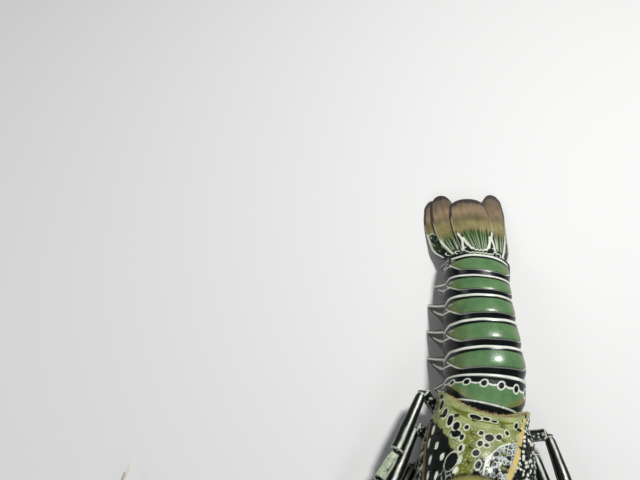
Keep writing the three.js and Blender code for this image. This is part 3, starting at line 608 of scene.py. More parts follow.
tail_fan = shell_material(
    "tail_fan",
    ((0.002, 0.004, 0.003), (0.008, 0.012, 0.008)),
    [
        ("green", ((0.05, 0.12, 0.035), (0.12, 0.22, 0.06))),
        ("tan", ((0.13, 0.11, 0.042), (0.29, 0.25, 0.11))),
        ("soft", ((0.175, 0.125, 0.07), (0.31, 0.225, 0.13))),
        ("rim", ((0.014, 0.012, 0.017), (0.04, 0.034, 0.042))),
        ("white", ((0.5, 0.54, 0.4), (0.75, 0.77, 0.64))),
    ],
    gloss=(0.22, 0.45),
    coat=0.25,
    fine=2200,
)

make_piece("telson_plate", vane_form("telson", 1, 0), FAN_MARKS, tail_fan, ["telson"])
for side_name, side in SIDES.items():
    for kind in ("inner", "outer"):
        form = vane_form(kind, side, VANE_SPREAD[side_name][kind])
        nodes = [f"fan_{kind}_{side_name}"]
        make_piece(f"{kind}_vane_{side_name}", form, FAN_MARKS, tail_fan, nodes)


# Carapace: the one hard shield over head and chest, with a deep groove across its middle and a fringe
# of hair along its thick rear rim. It is black with white drops and pale-edged ovals under a
# yellow-green saddle, and its pattern lies a little to the right of the crown.
CARAPACE_LENGTH = 112
CARAPACE = {
    "length": CARAPACE_LENGTH,
    "heading": -1,
    "half_width": [30.5, 33.5, 35.5, 36, 35, 33, 30, 25.5],
    "crown": [49, 55, 59.5, 61.5, 61, 58.5, 54.5, 47.5],
    "widest": [27, 28, 29, 29.5, 30, 30, 31, 32],
    "belly": [12.5, 12.5, 12.5, 12.5, 12.5, 13, 15, 18],
}
NECK_SHARE = 0.446
CARAPACE_MARKS = ("olive", "pale", "tan", "yellow", "blue", "white", "under")


def cells(u, v, size, seed):
    # Scattered centres about one size apart: distances to the nearest two, and a number for the nearest.
    table = np.random.default_rng(seed).random((97, 89, 3))
    jitter = 0.42
    iu, iv = np.floor(u / size).astype(int), np.floor(v / size).astype(int)
    first, second = np.full(u.shape, 1e9), np.full(u.shape, 1e9)
    pick = np.zeros(u.shape)
    for du in (-1, 0, 1):
        for dv in (-1, 0, 1):
            a, b = iu + du, iv + dv
            spot = table[a % table.shape[0], b % table.shape[1]]
            away = np.hypot(
                u - (a + 0.5 + jitter * (2 * spot[..., 0] - 1)) * size,
                v - (b + 0.5 + jitter * (2 * spot[..., 1] - 1)) * size,
            )
            second = np.where(away < first, first, np.minimum(second, away))
            pick = np.where(away < first, spot[..., 2], pick)
            first = np.minimum(first, away)
    return first, second, pick


def ovals(u, v, spots):
    # How far outside the nearest of some ovals each point is, in their own sizes and in millimetres.
    share, gap = np.full(u.shape, 1e9), np.full(u.shape, 1e9)
    for centre_u, centre_v, half_u, half_v, lean in spots:
        c, s = math.cos(math.radians(lean)), math.sin(math.radians(lean))
        du, dv = u - centre_u, v - centre_v
        ratio = np.hypot((c * du + s * dv) / half_u, (c * dv - s * du) / half_v)
        gap = np.minimum(gap, (ratio - 1) * min(half_u, half_v))
        share = np.minimum(share, ratio)
    return share, gap


def carapace_point(share, angle, bumps=0.0):
    # A point of the shield at a share of the way forward, with both grooves pressed into it.
    turn = np.minimum(np.abs(angle), math.radians(100))
    reach = np.where(share < NECK_SHARE, share / NECK_SHARE, (1 - share) / (1 - NECK_SHARE))
    sweep = 40 * (1 - np.cos(turn)) * reach**2 * (3 - 2 * reach)
    y = rear_margin(angle) * np.maximum(1 - share / 0.3, 0) ** 2 - CARAPACE_LENGTH * share - sweep
    fade = np.clip((math.radians(115) - np.abs(angle)) / math.radians(30), 0, 1)
    groove = 2.6 * swell(share - NECK_SHARE, 0.022) + 1.5 * swell(share - 0.075, 0.025)
    return shell_point(CARAPACE, y, angle, bumps - fade * groove)


def carapace_marks(share, angle, across, forward):
    # across is the distance down from the crown and forward the true distance ahead of the tail joint.
    inward = share * CARAPACE_LENGTH
    side = across + (3.6 + 0.175 * np.minimum(inward, 46)) * smooth(100, 40, inward)
    behind = 1 - smooth(-1.5, 1.5, inward - 46)
    soft = np.sin(side * 0.55 + 1) + np.sin(side * 1.27 + 2.2) + np.sin(side * 2.31)
    ink = {mark: np.zeros(share.shape) for mark in CARAPACE_MARKS}

    def lay(mark, amount):
        ink[mark] = np.clip(ink[mark] + amount, 0, 1)

    # The rear rim is pale. A green groove lies inside it, then a pale ridge with a green line.
    ridge_line = 13 - 0.011 * np.minimum(side**2, 900)
    rim = 1 - smooth(-0.5, 0.5, inward - 5 + 1.6 * swell(side, 9) + 0.15 * soft)
    ridge = inked(inward - ridge_line - 0.1 * soft, 2.5, 0.5) * (np.abs(side) < 34)
    thread = inked(inward - ridge_line, 0.35) * (np.abs(side) < 30)
    ink["pale"] = np.clip(0.85 * rim + ridge * (1 - 0.6 * thread), 0, 1)

    # Yellow-green ground runs forward of the ridge, least on the flanks, with an olive saddle.
    front_limit = np.interp(
        side,
        [-38, -33, -22, -16.5, -13, -8, -7, 3, 4, 6, 10, 15, 20.5, 25, 30],
        [11, 13, 18.5, 24.5, 32, 33, 60, 60, 31, 37, 36, 27, 22, 18, 14],
    )
    ground = smooth(-0.6, 0.6, front_limit - inward + 0.35 * soft) * behind
    saddle = inked(side + 2.3 + 0.2 * soft, 4.4, 1) * smooth(17, 20, inward)
    ink["olive"] = ground
    lay("pale", 0.5 * ground * (1 - saddle) * smooth(-1, 2, inward - ridge_line))

    # The flanks ahead of it are black: the right one with long white drops, the left one mottled.
    near, next_near, pick = cells(side * 0.9, forward * 0.62, 5.2, 5)
    open_ground = (1 - ground) * behind * (inward > 10)
    net = inked(next_near - near, 0.3, 0.3) * smooth(30, 40, inward + 0.3 * side)
    drops = [(-30.3, 17.5), (-32.5, 22), (-24.8, 25.5), (-29.5, 30), (-19, 32.5), (-30.5, 36)]
    drops += [(-22, 40), (13, 42.5)]
    ratio, _ = ovals(side, inward, [(u, v, 1.5, 1.8, 8) for u, v in drops])
    ink["white"] = open_ground * np.clip(0.7 * net * (pick > 0.3) + (ratio < 1), 0, 1)
    fine_near, fine_next, fine_pick = cells(side, forward * 0.75, 2.3, 8)
    mottle = open_ground * smooth(8, 10, side) * smooth(28, 26, side)
    flecks = inked(fine_next - fine_near, 0.42, 0.35) * (fine_pick > 0.25)
    ink["blue"] = mottle * (1 - smooth(0.35, 0.9, fine_near)) * (fine_pick > 0.45)
    ink["white"] = ink["white"] + mottle * flecks
    front_line = inked((front_limit - inward) * 0.75, 0.55) * (np.abs(side - 15.5) < 5.5)
    column = inked(side - 9.5 - 0.1 * soft, 0.6) * (inward > 37) * behind
    lay("white", front_line + column)

    # Black ovals with pale edges: three in the groove, a row along the ridge and some ahead of it.
    spots = [
        (-3.7, 7, 3.9, 2.4, 4), (2.8, 5.9, 2.4, 2.0, 0), (8, 6.6, 2, 1.2, 0), (-33, 2.5, 2.2, 1.4, 0),
        (-30, 6.2, 2, 2.6, 0), (-24, 10, 2, 2.7, 0), (-18.4, 13.7, 2, 3.4, 0), (-13.4, 17, 2.3, 2.8, 0),
        (-12.3, 22, 3, 2.2, 0), (-7, 17.3, 1.4, 1.9, 0), (2.3, 20, 1.6, 1.9, 0),
        (7.8, 22.3, 2.9, 2.9, -30), (13.3, 20, 1.9, 2.3, 0), (17.5, 15, 1.3, 2.1, -20),
        (23.4, 7.3, 1.5, 2.4, 0), (29, 3.9, 1.5, 1.4, 0), (26, 15.5, 1.2, 1.8, 0),
        (3.4, 27.7, 1.7, 2.2, 0), (7.4, 28, 1.6, 1.4, 0), (2.5, 34, 2.2, 2.1, 0),
        (-7.4, 31, 1.4, 1.9, 0), (-8.4, 24.3, 1.5, 2, 0), (-11.7, 37.2, 4.3, 4.6, 0),
        (33, 1, 1.5, 2, 0), (5.5, 41, 1.6, 2.6, 0),
    ]
    ratio, gap = ovals(side, inward, spots)
    ring = smooth(-0.15, 0.1, gap) * (1 - smooth(0.4, 0.7, gap)) * behind * smooth(2, 4, inward)
    hole = (ratio < 1) * behind
    for mark in ("pale", "olive", "blue", "white"):
        ink[mark] = ink[mark] * (1 - hole)
    lay("white", 0.85 * ring)
    blots = [(-5.6, 31, 0.9, 2, 0), (-6.2, 37.5, 1.4, 2.6, 0), (-7.4, 43, 1.9, 1.8, 0)]
    ratio, _ = ovals(side, inward, blots)
    ink["white"] = np.maximum(ink["white"], 0.85 * (ratio < 1))

    # Tiny pale dots on the green ground.
    dot_near, _, dot_pick = cells(side, forward, 1.9, 12)
    dots = (1 - smooth(0.28, 0.5, dot_near)) * (dot_pick > 0.35)
    lay("white", 0.5 * dots * ink["olive"] * (inward > 16))

    # Ahead of the neck a yellow shield with dark spots, black ground with a white net beside it.
    ahead = smooth(46.5, 48.5, inward)
    shield_width = 15 + 5 * smooth(50, 60, inward) - 9 * smooth(66, 100, inward) + 0.7 * soft
    shield = smooth(-0.8, 0.8, shield_width - np.abs(side)) * ahead
    shield = shield * (1 - smooth(84, 88, inward + 0.25 * np.abs(side)))
    head_spots = [(5.5, 62, 3.2, 3.8), (3.8, 76, 1.8, 2.2), (13, 57, 1.7, 2), (10.5, 70, 1.5, 2)]
    head_spots = [(sign * u, v, a, b, 0) for u, v, a, b in head_spots for sign in (1, -1)]
    ratio, gap = ovals(side, inward, head_spots)
    shield_ink = shield * smooth(0.9, 1.05, ratio)
    lay("pale", shield_ink * (0.25 + 0.3 * dots))
    lay("olive", shield_ink)
    ink["yellow"] = 0.3 * shield_ink
    front_near, front_next, _ = cells(side, forward * 0.8, 5.2, 31)
    front_net = inked(front_next - front_near, 0.4, 0.3)
    front_ground = ahead * (1 - shield) * (np.abs(side) < 36)
    shield_edge = inked(shield_width - np.abs(side), 0.5) * ahead * (inward < 86)
    lay("white", front_ground * front_net * 0.85 + shield_edge * 0.9)
    lay("white", shield * inked(gap - 0.3, 0.3) * 0.7)

    # A band runs forward along each flank. The left one is yellow; the right one is the same band darkened
    # to brown as painted shade. Below each band the black ground is freckled white.
    right_centre = 37 - 8 * smooth(45, 75, inward)
    left_centre = 27 + 4 * smooth(16, 4, inward) - 2 * smooth(25, 45, inward) + 4 * smooth(50, 80, inward)
    below = np.where(side < 0, -side - right_centre, side - left_centre) - 0.2 * soft
    band = inked(below, 2.0, 0.35) * (inward > 3) * (1 - smooth(88, 96, inward))
    # Painted shade: the right band is coloured brown where that flank turns away from the light.
    ink["tan"] = band * (side < 0)
    ink["yellow"] = ink["yellow"] + band * (side > 0)
    freckle_near, _, freckle_pick = cells(side, forward, 3.0, 44)
    freckles = 1 - smooth(0.5 + 0.5 * freckle_pick, 0.8 + 0.5 * freckle_pick, freckle_near)
    low = smooth(1.5, 2.5, below) * (inward > 3)
    ink["white"] = ink["white"] * (1 - low * (inward > 14)) * (1 - band)
    ink["white"] = ink["white"] + low * freckles * (freckle_pick > 0.25)
    ink["olive"] = ink["olive"] * (1 - low)
    ink["pale"] = ink["pale"] * (1 - low)
    edge = inked(np.abs(angle) - math.radians(121), math.radians(3.5), 0.02)
    lay("white", 0.8 * edge)
    ink["under"] = smooth(math.radians(126), math.radians(130), np.abs(angle))
    bumps = 0.35 * (1 - smooth(0.4, 1.3, freckle_near)) * low
    bumps = bumps + 0.3 * (1 - smooth(0.5, 1.8, near)) * open_ground
    bumps = bumps + 0.4 * (1 - smooth(0.6, 1.8, front_near)) * front_ground
    return [np.clip(ink[mark], 0, 1) for mark in CARAPACE_MARKS], bumps * (1 - ink["under"])


def path_grid(path, half, sides, flat=1.0):
    # A tapering rod round a path, with its angle measured from the top.
    path = np.asarray(path, float)
    ahead = np.gradient(path, axis=0)
    ahead /= np.linalg.norm(ahead, axis=1, keepdims=True)
    across = np.cross(ahead, (0, 0, 1.0))
    across /= np.maximum(np.linalg.norm(across, axis=1, keepdims=True), 1e-6)
    above = np.cross(across, ahead)
    turn = np.linspace(-np.pi, np.pi, sides, endpoint=False)
    half = np.broadcast_to(half, (len(path),))[:, None, None]
    sine, cosine = np.sin(turn)[None, :, None], flat * np.cos(turn)[None, :, None]
    ring = sine * across[:, None, :] + cosine * above[:, None, :]
    return path[:, None, :] + half * ring, turn[None, :]


def add_spine(form, root, ahead, length, radius, marks, tip_marks, sides=10):
    # A thorn with a broad foot and a slightly upturned tip.
    share = np.linspace(0, 1, 12)
    rise = np.cross(np.cross(ahead, (0, 0, 1.0)), ahead)
    path = root + np.outer(share * 1.35 - 0.35, ahead) * length + np.outer(share**3 * 0.1 * length, rise)
    half = radius * (1 - share) ** 0.85 * (1 + 0.25 * swell(share, 0.3)) + 0.06
    grid, _ = path_grid(path, half, sides)
    blend = smooth(0.5, 0.7, share)[:, None]
    foot = inked(share - 0.36, 0.07, 0.04)[:, None]
    layers = [a + (b - a) * blend for a, b in zip(marks, tip_marks)]
    layers[-2] = np.clip(layers[-2] + 0.8 * foot, 0, 1)
    add_skin(form, grid, layers)


def shell_normal(shell, y, angle):
    lengthwise = shell_point(shell, y + 1, angle) - shell_point(shell, y - 1, angle)
    around = shell_point(shell, y, angle + 0.01) - shell_point(shell, y, angle - 0.01)
    normal = -np.cross(around, lengthwise)
    return normal / np.linalg.norm(normal)


# Rows of spines on each side: degrees from the crown, first and last place along, how many, and
# the first and last length.
SPINE_ROWS = [
    (22, -95, -64, 4, 8, 5),
    (40, -103, -70, 4, 7.5, 4.5),
    (60, -106, -78, 4, 9, 4.5),
    (82, -104, -84, 3, 6.5, 4),
    (104, -103, -90, 2, 5, 4),
    (7, -101, -70, 3, 3.5, 3),
    (13, -40, -14, 4, 3.4, 2.4),
    (34, -47, -13, 4, 3.6, 2.4),
    (56, -60, -14, 5, 3.8, 2.4),
    (80, -70, -16, 5, 3.6, 2.4),
]
share, angle = np.meshgrid(
    np.concatenate([np.linspace(0, 0.03, 12)[:-1], np.linspace(0.03, 1, 236)]),
    even_angles(CARAPACE, -50, 0.5),
    indexing="ij",
)
bare = carapace_point(share, angle)
steps = np.linalg.norm(np.diff(bare, axis=1), axis=2)
walk = np.concatenate([np.zeros((len(share), 1)), np.cumsum(steps, axis=1)], axis=1)
crown_walk = np.array([np.interp(0, angle[0], row) for row in walk])
marks, bumps = carapace_marks(share, angle, walk - crown_walk[:, None], -bare[..., 1])
form = new_form()
add_skin(form, carapace_point(share, angle, bumps), marks)
for side in SIDES.values():
    for degrees, start, end, count, first, last in SPINE_ROWS:
        for i in range(count):
            y = start + (end - start) * i / (count - 1)
            length = first + (last - first) * i / (count - 1)
            turn = side * math.radians(degrees)
            place = np.array(float(y)), np.array(turn)
            root = shell_point(CARAPACE, *place, -0.5)
            ahead = shell_normal(CARAPACE, *place) + (0, -0.85, 0)
            ahead /= np.linalg.norm(ahead)
            body = [0.9, 0.35, 0, 0, 0, 0, 0] if degrees == 13 else [0] * 7
            add_spine(form, root, ahead, length, 0.32 * length + 0.5, body, [0, 0.5, 1, 0, 0, 0.2, 0])
carapace_shell = shell_material(
    "carapace_shell",
    ((0.002, 0.003, 0.003), (0.007, 0.009, 0.007)),
    [
        ("olive", ((0.075, 0.1, 0.01), (0.18, 0.18, 0.025))),
        ("pale", ((0.2, 0.24, 0.09), (0.38, 0.42, 0.19))),
        # tan: the brown tips of spines and horns, and painted shade on the right flank band.
        ("tan", ((0.15, 0.095, 0.03), (0.27, 0.18, 0.065))),
        ("yellow", ((0.42, 0.32, 0.09), (0.62, 0.5, 0.2))),
        ("blue", ((0.16, 0.23, 0.32), (0.36, 0.45, 0.52))),
        ("white", ((0.5, 0.54, 0.42), (0.78, 0.8, 0.68))),
        ("under", ((0.3, 0.24, 0.12), (0.45, 0.36, 0.2))),
    ],
    gloss=(0.34, 0.52),
    coat=0.05,
    shine=0.14,
    broad=160,
)
make_piece("shield", form, CARAPACE_MARKS, carapace_shell, ["carapace"])

# The fringe of hair along the rear rim.
random = np.random.default_rng(3)
fringe = new_form()
for turn in np.radians(random.uniform(-62, 62, 420)):
    root = carapace_point(np.array(random.uniform(0, 0.012)), np.array(turn), -0.4)
    length = random.uniform(1.2, 3.0) * (0.6 + 0.4 * math.cos(turn))
    lean = np.array([random.normal(0, 0.35), 1.0, random.normal(-0.1, 0.3)])
    path = root + np.outer(np.linspace(0, 1, 4), lean / np.linalg.norm(lean)) * length
    path[:, 2] -= np.linspace(0, 1, 4) ** 2 * 0.6
    grid, _ = path_grid(path, np.array([0.2, 0.17, 0.12, 0.03]), 3)
    add_skin(fringe, grid, [random.uniform(0, 1)])
hair = shell_material(
    "hair",
    ((0.16, 0.09, 0.035), (0.26, 0.16, 0.07)),
    [("pale", ((0.42, 0.3, 0.15), (0.55, 0.42, 0.24)))],
    gloss=(0.5, 0.6),
    coat=0.0,
)
make_piece("rim_fringe", fringe, ("pale",), hair, [])


# Walking legs: five pairs of hard, jointed shell, each with a hip, thigh, wrist, hand and claw that
# hinge on swollen knuckles. They are black with a cream stripe and fine pale edge lines, and the
# claws are tipped with brown bristles.
STERNUM_REAR, STERNUM_FRONT, STERNUM_REAR_HALF, STERNUM_FRONT_HALF = -5, -84, 16.5, 8
HIP_HEIGHT, TOE_HEIGHT = 6.8, 0.5
LEG_RADII = [[4.6, 5, 4.6, 4], [3.6, 4.2, 5, 4.5], [3.4, 4.3, 3.8], [3.1, 3.5, 3.1, 2.6], [2.5, 2, 0.7]]
# Each pair of legs from front to rear: its root, its size and the lengths of its joints, then for
# the left and the right leg the headings of the joints and how steeply they rise.
LEGS = [
    (
        -75,
        0.94,
        [22, 44, 19, 38, 22],
        ([18, 64, 74, 80, 86], [6, 18, 4, -18]),
        ([20, 72, 76, 80, 84], [2, 9, 5, -11]),
    ),
    (
        -60,
        1.0,
        [24, 48, 21, 42, 24],
        ([5, 66, 66, 70, 74], [8, 19, 2, -19]),
        ([8, 73, 66, 70, 74], [2, 9, 5, -12]),
    ),
    (
        -44,
        1.0,
        [26, 49, 21, 42, 24],
        ([-8, 68, 62, 63, 66], [12, 17, 2, -19]),
        ([-4, 73, 64, 65, 68], [2, 9, 5, -13]),
    ),
    (
        -28,
        0.97,
        [29, 46, 20, 39, 22],
        ([-22, 68, 60, 56, 56], [18, 13, 2, -20]),
        ([-20, 76, 58, 57, 59], [8, 12, 4, -17]),
    ),
    (
        -13,
        0.92,
        [35, 45, 20, 37, 20],
        ([-16, 68, 60, 50, 46], [18, 9, -1, -21]),
        ([-34, 76, 68, 54, 50], [28, 3, -3, -20]),
    ),
]
LEG_MARKS = ("pale", "green", "tan", "white")


def direction(side, heading, rise):
    # The way a limb points: its heading turns forward from straight out to the side.
    turn, lift = math.radians(heading), math.radians(rise)
    flat = math.cos(lift)
    return np.array([side * math.cos(turn) * flat, -math.sin(turn) * flat, math.sin(lift)])


def leg_joints(side, root, lengths, headings, rises):
    # The places of a leg's joints. The claw reaches down to the floor.
    share = (root - STERNUM_REAR) / (STERNUM_FRONT - STERNUM_REAR)
    half = STERNUM_REAR_HALF + (STERNUM_FRONT_HALF - STERNUM_REAR_HALF) * share
    joints = [np.array([side * (half - 1), root, HIP_HEIGHT])]
    for i, length in enumerate(lengths):
        rise = rises[i] if i < 4 else math.degrees(math.asin((TOE_HEIGHT - joints[i][2]) / length))
        joints.append(joints[i] + direction(side, headings[i], rise) * length)
    return joints


def add_limb(form, start, end, radii, kind, seed, flat=0.92, spacing=0.6, sides=40):
    # One length of a limb, swollen at its far knuckle, with ridges along it.
    axis = end - start
    length = np.linalg.norm(axis)
    share = np.linspace(0, 1, int(length / spacing) + 8)
    if kind == "claw":
        share = share**0.9
    bow = np.sin(np.pi * share) * (0.012 if kind != "claw" else -0.03) * length
    path = start + np.outer(share, axis) + np.outer(bow, (0, 0, 1.0))
    half = along(radii, share)
    from_start, from_end = share * length, (1 - share) * length
    if kind != "claw":
        half = half * (1 + 0.12 * swell(from_end - 2.2, 2.4) - 0.16 * swell(from_start - 2.6, 1.3))
        half = half * (1 - 0.55 * smooth(1.2, 0, from_end))
    else:
        half = half * (1 + 0.08 * swell(from_start - 1.5, 1.5))
    half = half * (1 - 0.5 * smooth(1.2, 0, from_start))
    grid, turn = path_grid(path, half, sides, flat)
    across = np.degrees(turn)
    over = np.abs(across)
    from_start, from_end = from_start[:, None] + 0 * turn, from_end[:, None] + 0 * turn
    wobble = 3 * np.sin(from_start * 0.5 + seed) + 2 * np.sin(from_start * 1.3 + 2 * seed)
    pale, tan = np.zeros(from_start.shape), np.zeros(from_start.shape)
    if kind in ("thigh", "hand", "claw"):
        wide = {"thigh": 13, "hand": 16, "claw": 28}[kind]
        wide = wide * (1 - 0.35 * swell(from_start - length / 2, 8))
        white = inked(across + 4 * np.sin(seed) + wobble * 0.4, wide, 5)
        white = white * smooth(1.5, 4, from_start) * smooth(1.0, 2.5, from_end)
        white = white + 0.75 * inked(over - 74 + wobble * 0.3, 4.5, 3) * smooth(0.5, 2, from_start)
        white = white + 0.5 * inked(over - 128 - wobble * 0.3, 6, 3)
        if kind == "claw":
            tan = smooth(7, 3, from_end)
            white = white * (1 - tan)
    elif kind == "wrist":
        pale = inked(across + wobble, 58, 6) * smooth(0.8, 2, from_start) * smooth(0.8, 2, from_end)
        near, next_near, pick = cells(across * 0.075, from_start * 0.45, 1.1, 60 + seed)
        squiggle = inked(next_near - near, 0.13, 0.09) * (pick > 0.3) * (over < 45)
        pale = pale * (1 - squiggle)
        white = 0.8 * inked(over - 58, 5, 3) + 0.6 * inked(over - 110, 5, 3)
    else:
        near, _, pick = cells(across * 0.08, from_start * 0.8, 2.2, 70 + seed)
        white = (1 - smooth(0.4, 0.75, near)) * (pick > 0.4) + 0.6 * inked(over - 60, 6, 3)
    knuckle = inked(from_end - 1.4, 0.45) + inked(from_start - 2.2, 0.35)
    white = np.clip(white + 0.9 * knuckle * (over < 120), 0, 1)
    add_skin(form, grid, (pale, 0.35 * pale, tan, white))


leg_shell = shell_material(
    "leg_shell",
    ((0.002, 0.0025, 0.0025), (0.007, 0.008, 0.007)),
    [
        ("pale", ((0.36, 0.42, 0.3), (0.58, 0.62, 0.46))),
        ("green", ((0.1, 0.18, 0.09), (0.25, 0.34, 0.19))),
        ("tan", ((0.1, 0.045, 0.02), (0.22, 0.11, 0.05))),
        ("white", ((0.4, 0.44, 0.35), (0.66, 0.69, 0.58))),
    ],
    gloss=(0.3, 0.5),
    coat=0.15,
    broad=200,
)
random = np.random.default_rng(17)
for side_name, side in SIDES.items():
    for number, (root, size, lengths, left, right) in enumerate(LEGS, 1):
        headings, rises = left if side > 0 else right
        joints = leg_joints(side, root, lengths, headings, rises)
        form = new_form()
        for i, kind in enumerate(("hip", "thigh", "wrist", "hand", "claw")):
            radii = [radius * size for radius in LEG_RADII[i]]
            add_limb(form, joints[i], joints[i + 1], radii, kind, number + 3 * side)
        # A thorn over the far knuckle of the thigh, and bristles along the claw.
        ahead = direction(side, headings[1], rises[1] + 25)
        thorn_root = joints[2] - direction(side, headings[1], rises[1]) * 2.5 + np.array([0, 0, 3.4 * size])
        add_spine(form, thorn_root, ahead, 3.6, 1.4, [0, 0, 0, 0], [0, 0, 1, 0.2])
        along_claw = joints[5] - joints[4]
        for share in np.repeat(np.linspace(0.25, 0.85, 14), 5):
            out = np.cross(along_claw, random.normal(size=3))
            out = out / np.linalg.norm(out) + 0.8 * along_claw / np.linalg.norm(along_claw)
            foot = joints[4] + along_claw * share + out * 0.6
            if foot[2] < 1.6:
                continue
            path = foot + np.outer(np.linspace(0, 1, 3), out) * random.uniform(0.9, 1.5)
            path[:, 2] = np.maximum(path[:, 2], 0.3)
            grid, _ = path_grid(path, np.array([0.16, 0.12, 0.03]), 3)
            add_skin(form, grid, (0, 0, 1, 0))
        nodes = [f"leg_{side_name}_{number}_upper", f"leg_{side_name}_{number}_lower"]
        make_piece(f"walking_leg_{side_name}_{number}", form, LEG_MARKS, leg_shell, nodes)


# Breast plate and outer mouth legs: the plate is a pale, hard shield that carries the body between
# the legs, and the striped mouth legs are folded in front of it.
UNDER_MARKS = ("dark", "white")
rows, columns = 200, 60
back = np.linspace(0, 1, rows)[:, None]
across = np.linspace(-1, 1, columns)[None, :]
half = STERNUM_FRONT_HALF + (STERNUM_REAR_HALF - STERNUM_FRONT_HALF) * back
rear_edge = STERNUM_REAR - 3 * (1 - across**2)
front_edge = STERNUM_FRONT - 3 * (1 - across**2)
y = front_edge + (rear_edge - front_edge) * back
x = half * across
furrows = sum(swell(y - root - 8, 1.6) for root, *_ in LEGS) * smooth(0.1, 0.5, np.abs(across))
edge = (STERNUM_REAR - STERNUM_FRONT) * np.minimum(back, 1 - back)
edge = np.minimum(half * (1 - np.abs(across)), edge)
low = 0.02 + 0.55 * furrows + 0.5 * (1 - smooth(0, 0.8, edge))
top = np.stack([x, y, 12.1 + 0 * x], -1)
bottom = np.stack([x, y, low], -1)
dark = np.clip(furrows, 0, 1) * 0.8
near, _, pick = cells(x, y, 3.2, 90)
freckles = (1 - smooth(0.3, 0.7, near)) * (pick > 0.5) * 0.6
form = new_form()
add_sheet(form, top, bottom, (0.6, 0), (dark, freckles))
underside = shell_material(
    "underside",
    ((0.36, 0.27, 0.13), (0.5, 0.4, 0.22)),
    [
        ("dark", ((0.09, 0.07, 0.04), (0.15, 0.12, 0.07))),
        ("white", ((0.6, 0.6, 0.48), (0.75, 0.74, 0.62))),
    ],
    gloss=(0.3, 0.5),
    coat=0.2,
)
make_piece("breast_plate", form, UNDER_MARKS, underside, ["sternum"])

MOUTH_RADII = [[3, 3.6, 3.4, 3], [2.8, 3, 2.6], [2.4, 2.6, 2.3], [2.1, 1.7, 0.6]]
for side_name, side in SIDES.items():
    joints = [(7, -86, 7), (9.5, -107, 12), (8, -122, 15), (5, -127, 8.5), (4, -116, 4.5)]
    joints = [np.array([side * x, y, z]) for x, y, z in joints]
    form = new_form()
    for i, kind in enumerate(("thigh", "wrist", "hand", "claw")):
        ends = joints[i], joints[i + 1]
        add_limb(form, *ends, MOUTH_RADII[i], kind, 9 + i, flat=1.0, spacing=0.5, sides=32)
    nodes = [f"mouth_leg_{side_name}"]
    make_piece(f"outer_mouth_leg_{side_name}", form, LEG_MARKS, leg_shell, nodes)


# Head: a yellow-green plate with two dark spots bears four spines between the antennae. Black eyes
# on white-ringed stalks stand under two strong, curved horns.
PLATE_REAR, PLATE_FRONT = -112.3, -127
plate_form = new_form()
back = np.linspace(0, 1, 60)[:, None]
across = np.linspace(-1, 1, 70)[None, :]
half = 8.3 * (0.8 + 0.2 * back)
x = half * across
y = PLATE_FRONT + (PLATE_REAR - PLATE_FRONT) * back + 0 * across
edge = np.minimum(half * (1 - np.abs(across)), (PLATE_REAR - PLATE_FRONT) * back)
fall = 1.4 * (1 - smooth(0, 1.8, edge)) ** 2
top = np.stack([x, y, 37.5 + 3.5 * back - 1.6 * across**2 - fall], -1)
bottom = np.stack([x, y, 31 + fall], -1)
spot_share, spot_gap = ovals(x, y, [(3.6, -121, 1.7, 2.1, 0), (-3.6, -121, 1.7, 2.1, 0)])
spot_ring = smooth(-0.15, 0.1, spot_gap) * (1 - smooth(0.4, 0.7, spot_gap))
pale = smooth(0.95, 1.05, spot_share) * smooth(0.6, 1.2, edge)
outline = spot_ring + 0.8 * (1 - smooth(0.2, 0.8, edge))
marks = (0.8 * pale, 0.6 * pale, 0, 0.3 * pale, 0, outline, 0)
add_sheet(plate_form, top, bottom, marks, (0, 0, 0, 0, 0, 0, 1))
PLATE_SPINES = [((4.6, -124, 37), (70, 35), 8, 2.2), ((3.8, -117, 38.5), (65, 45), 5.5, 1.8)]
for side in SIDES.values():
    for place, rise, length, radius in PLATE_SPINES:
        root = np.array([side * place[0], place[1], place[2]])
        ahead = direction(side, *rise)
        add_spine(plate_form, root, ahead, length, radius, [0] * 7, [0, 0.4, 0.8, 0, 0, 0.3, 0], sides=16)
make_piece("head_plate", plate_form, CARAPACE_MARKS, carapace_shell, ["antennular_plate"])

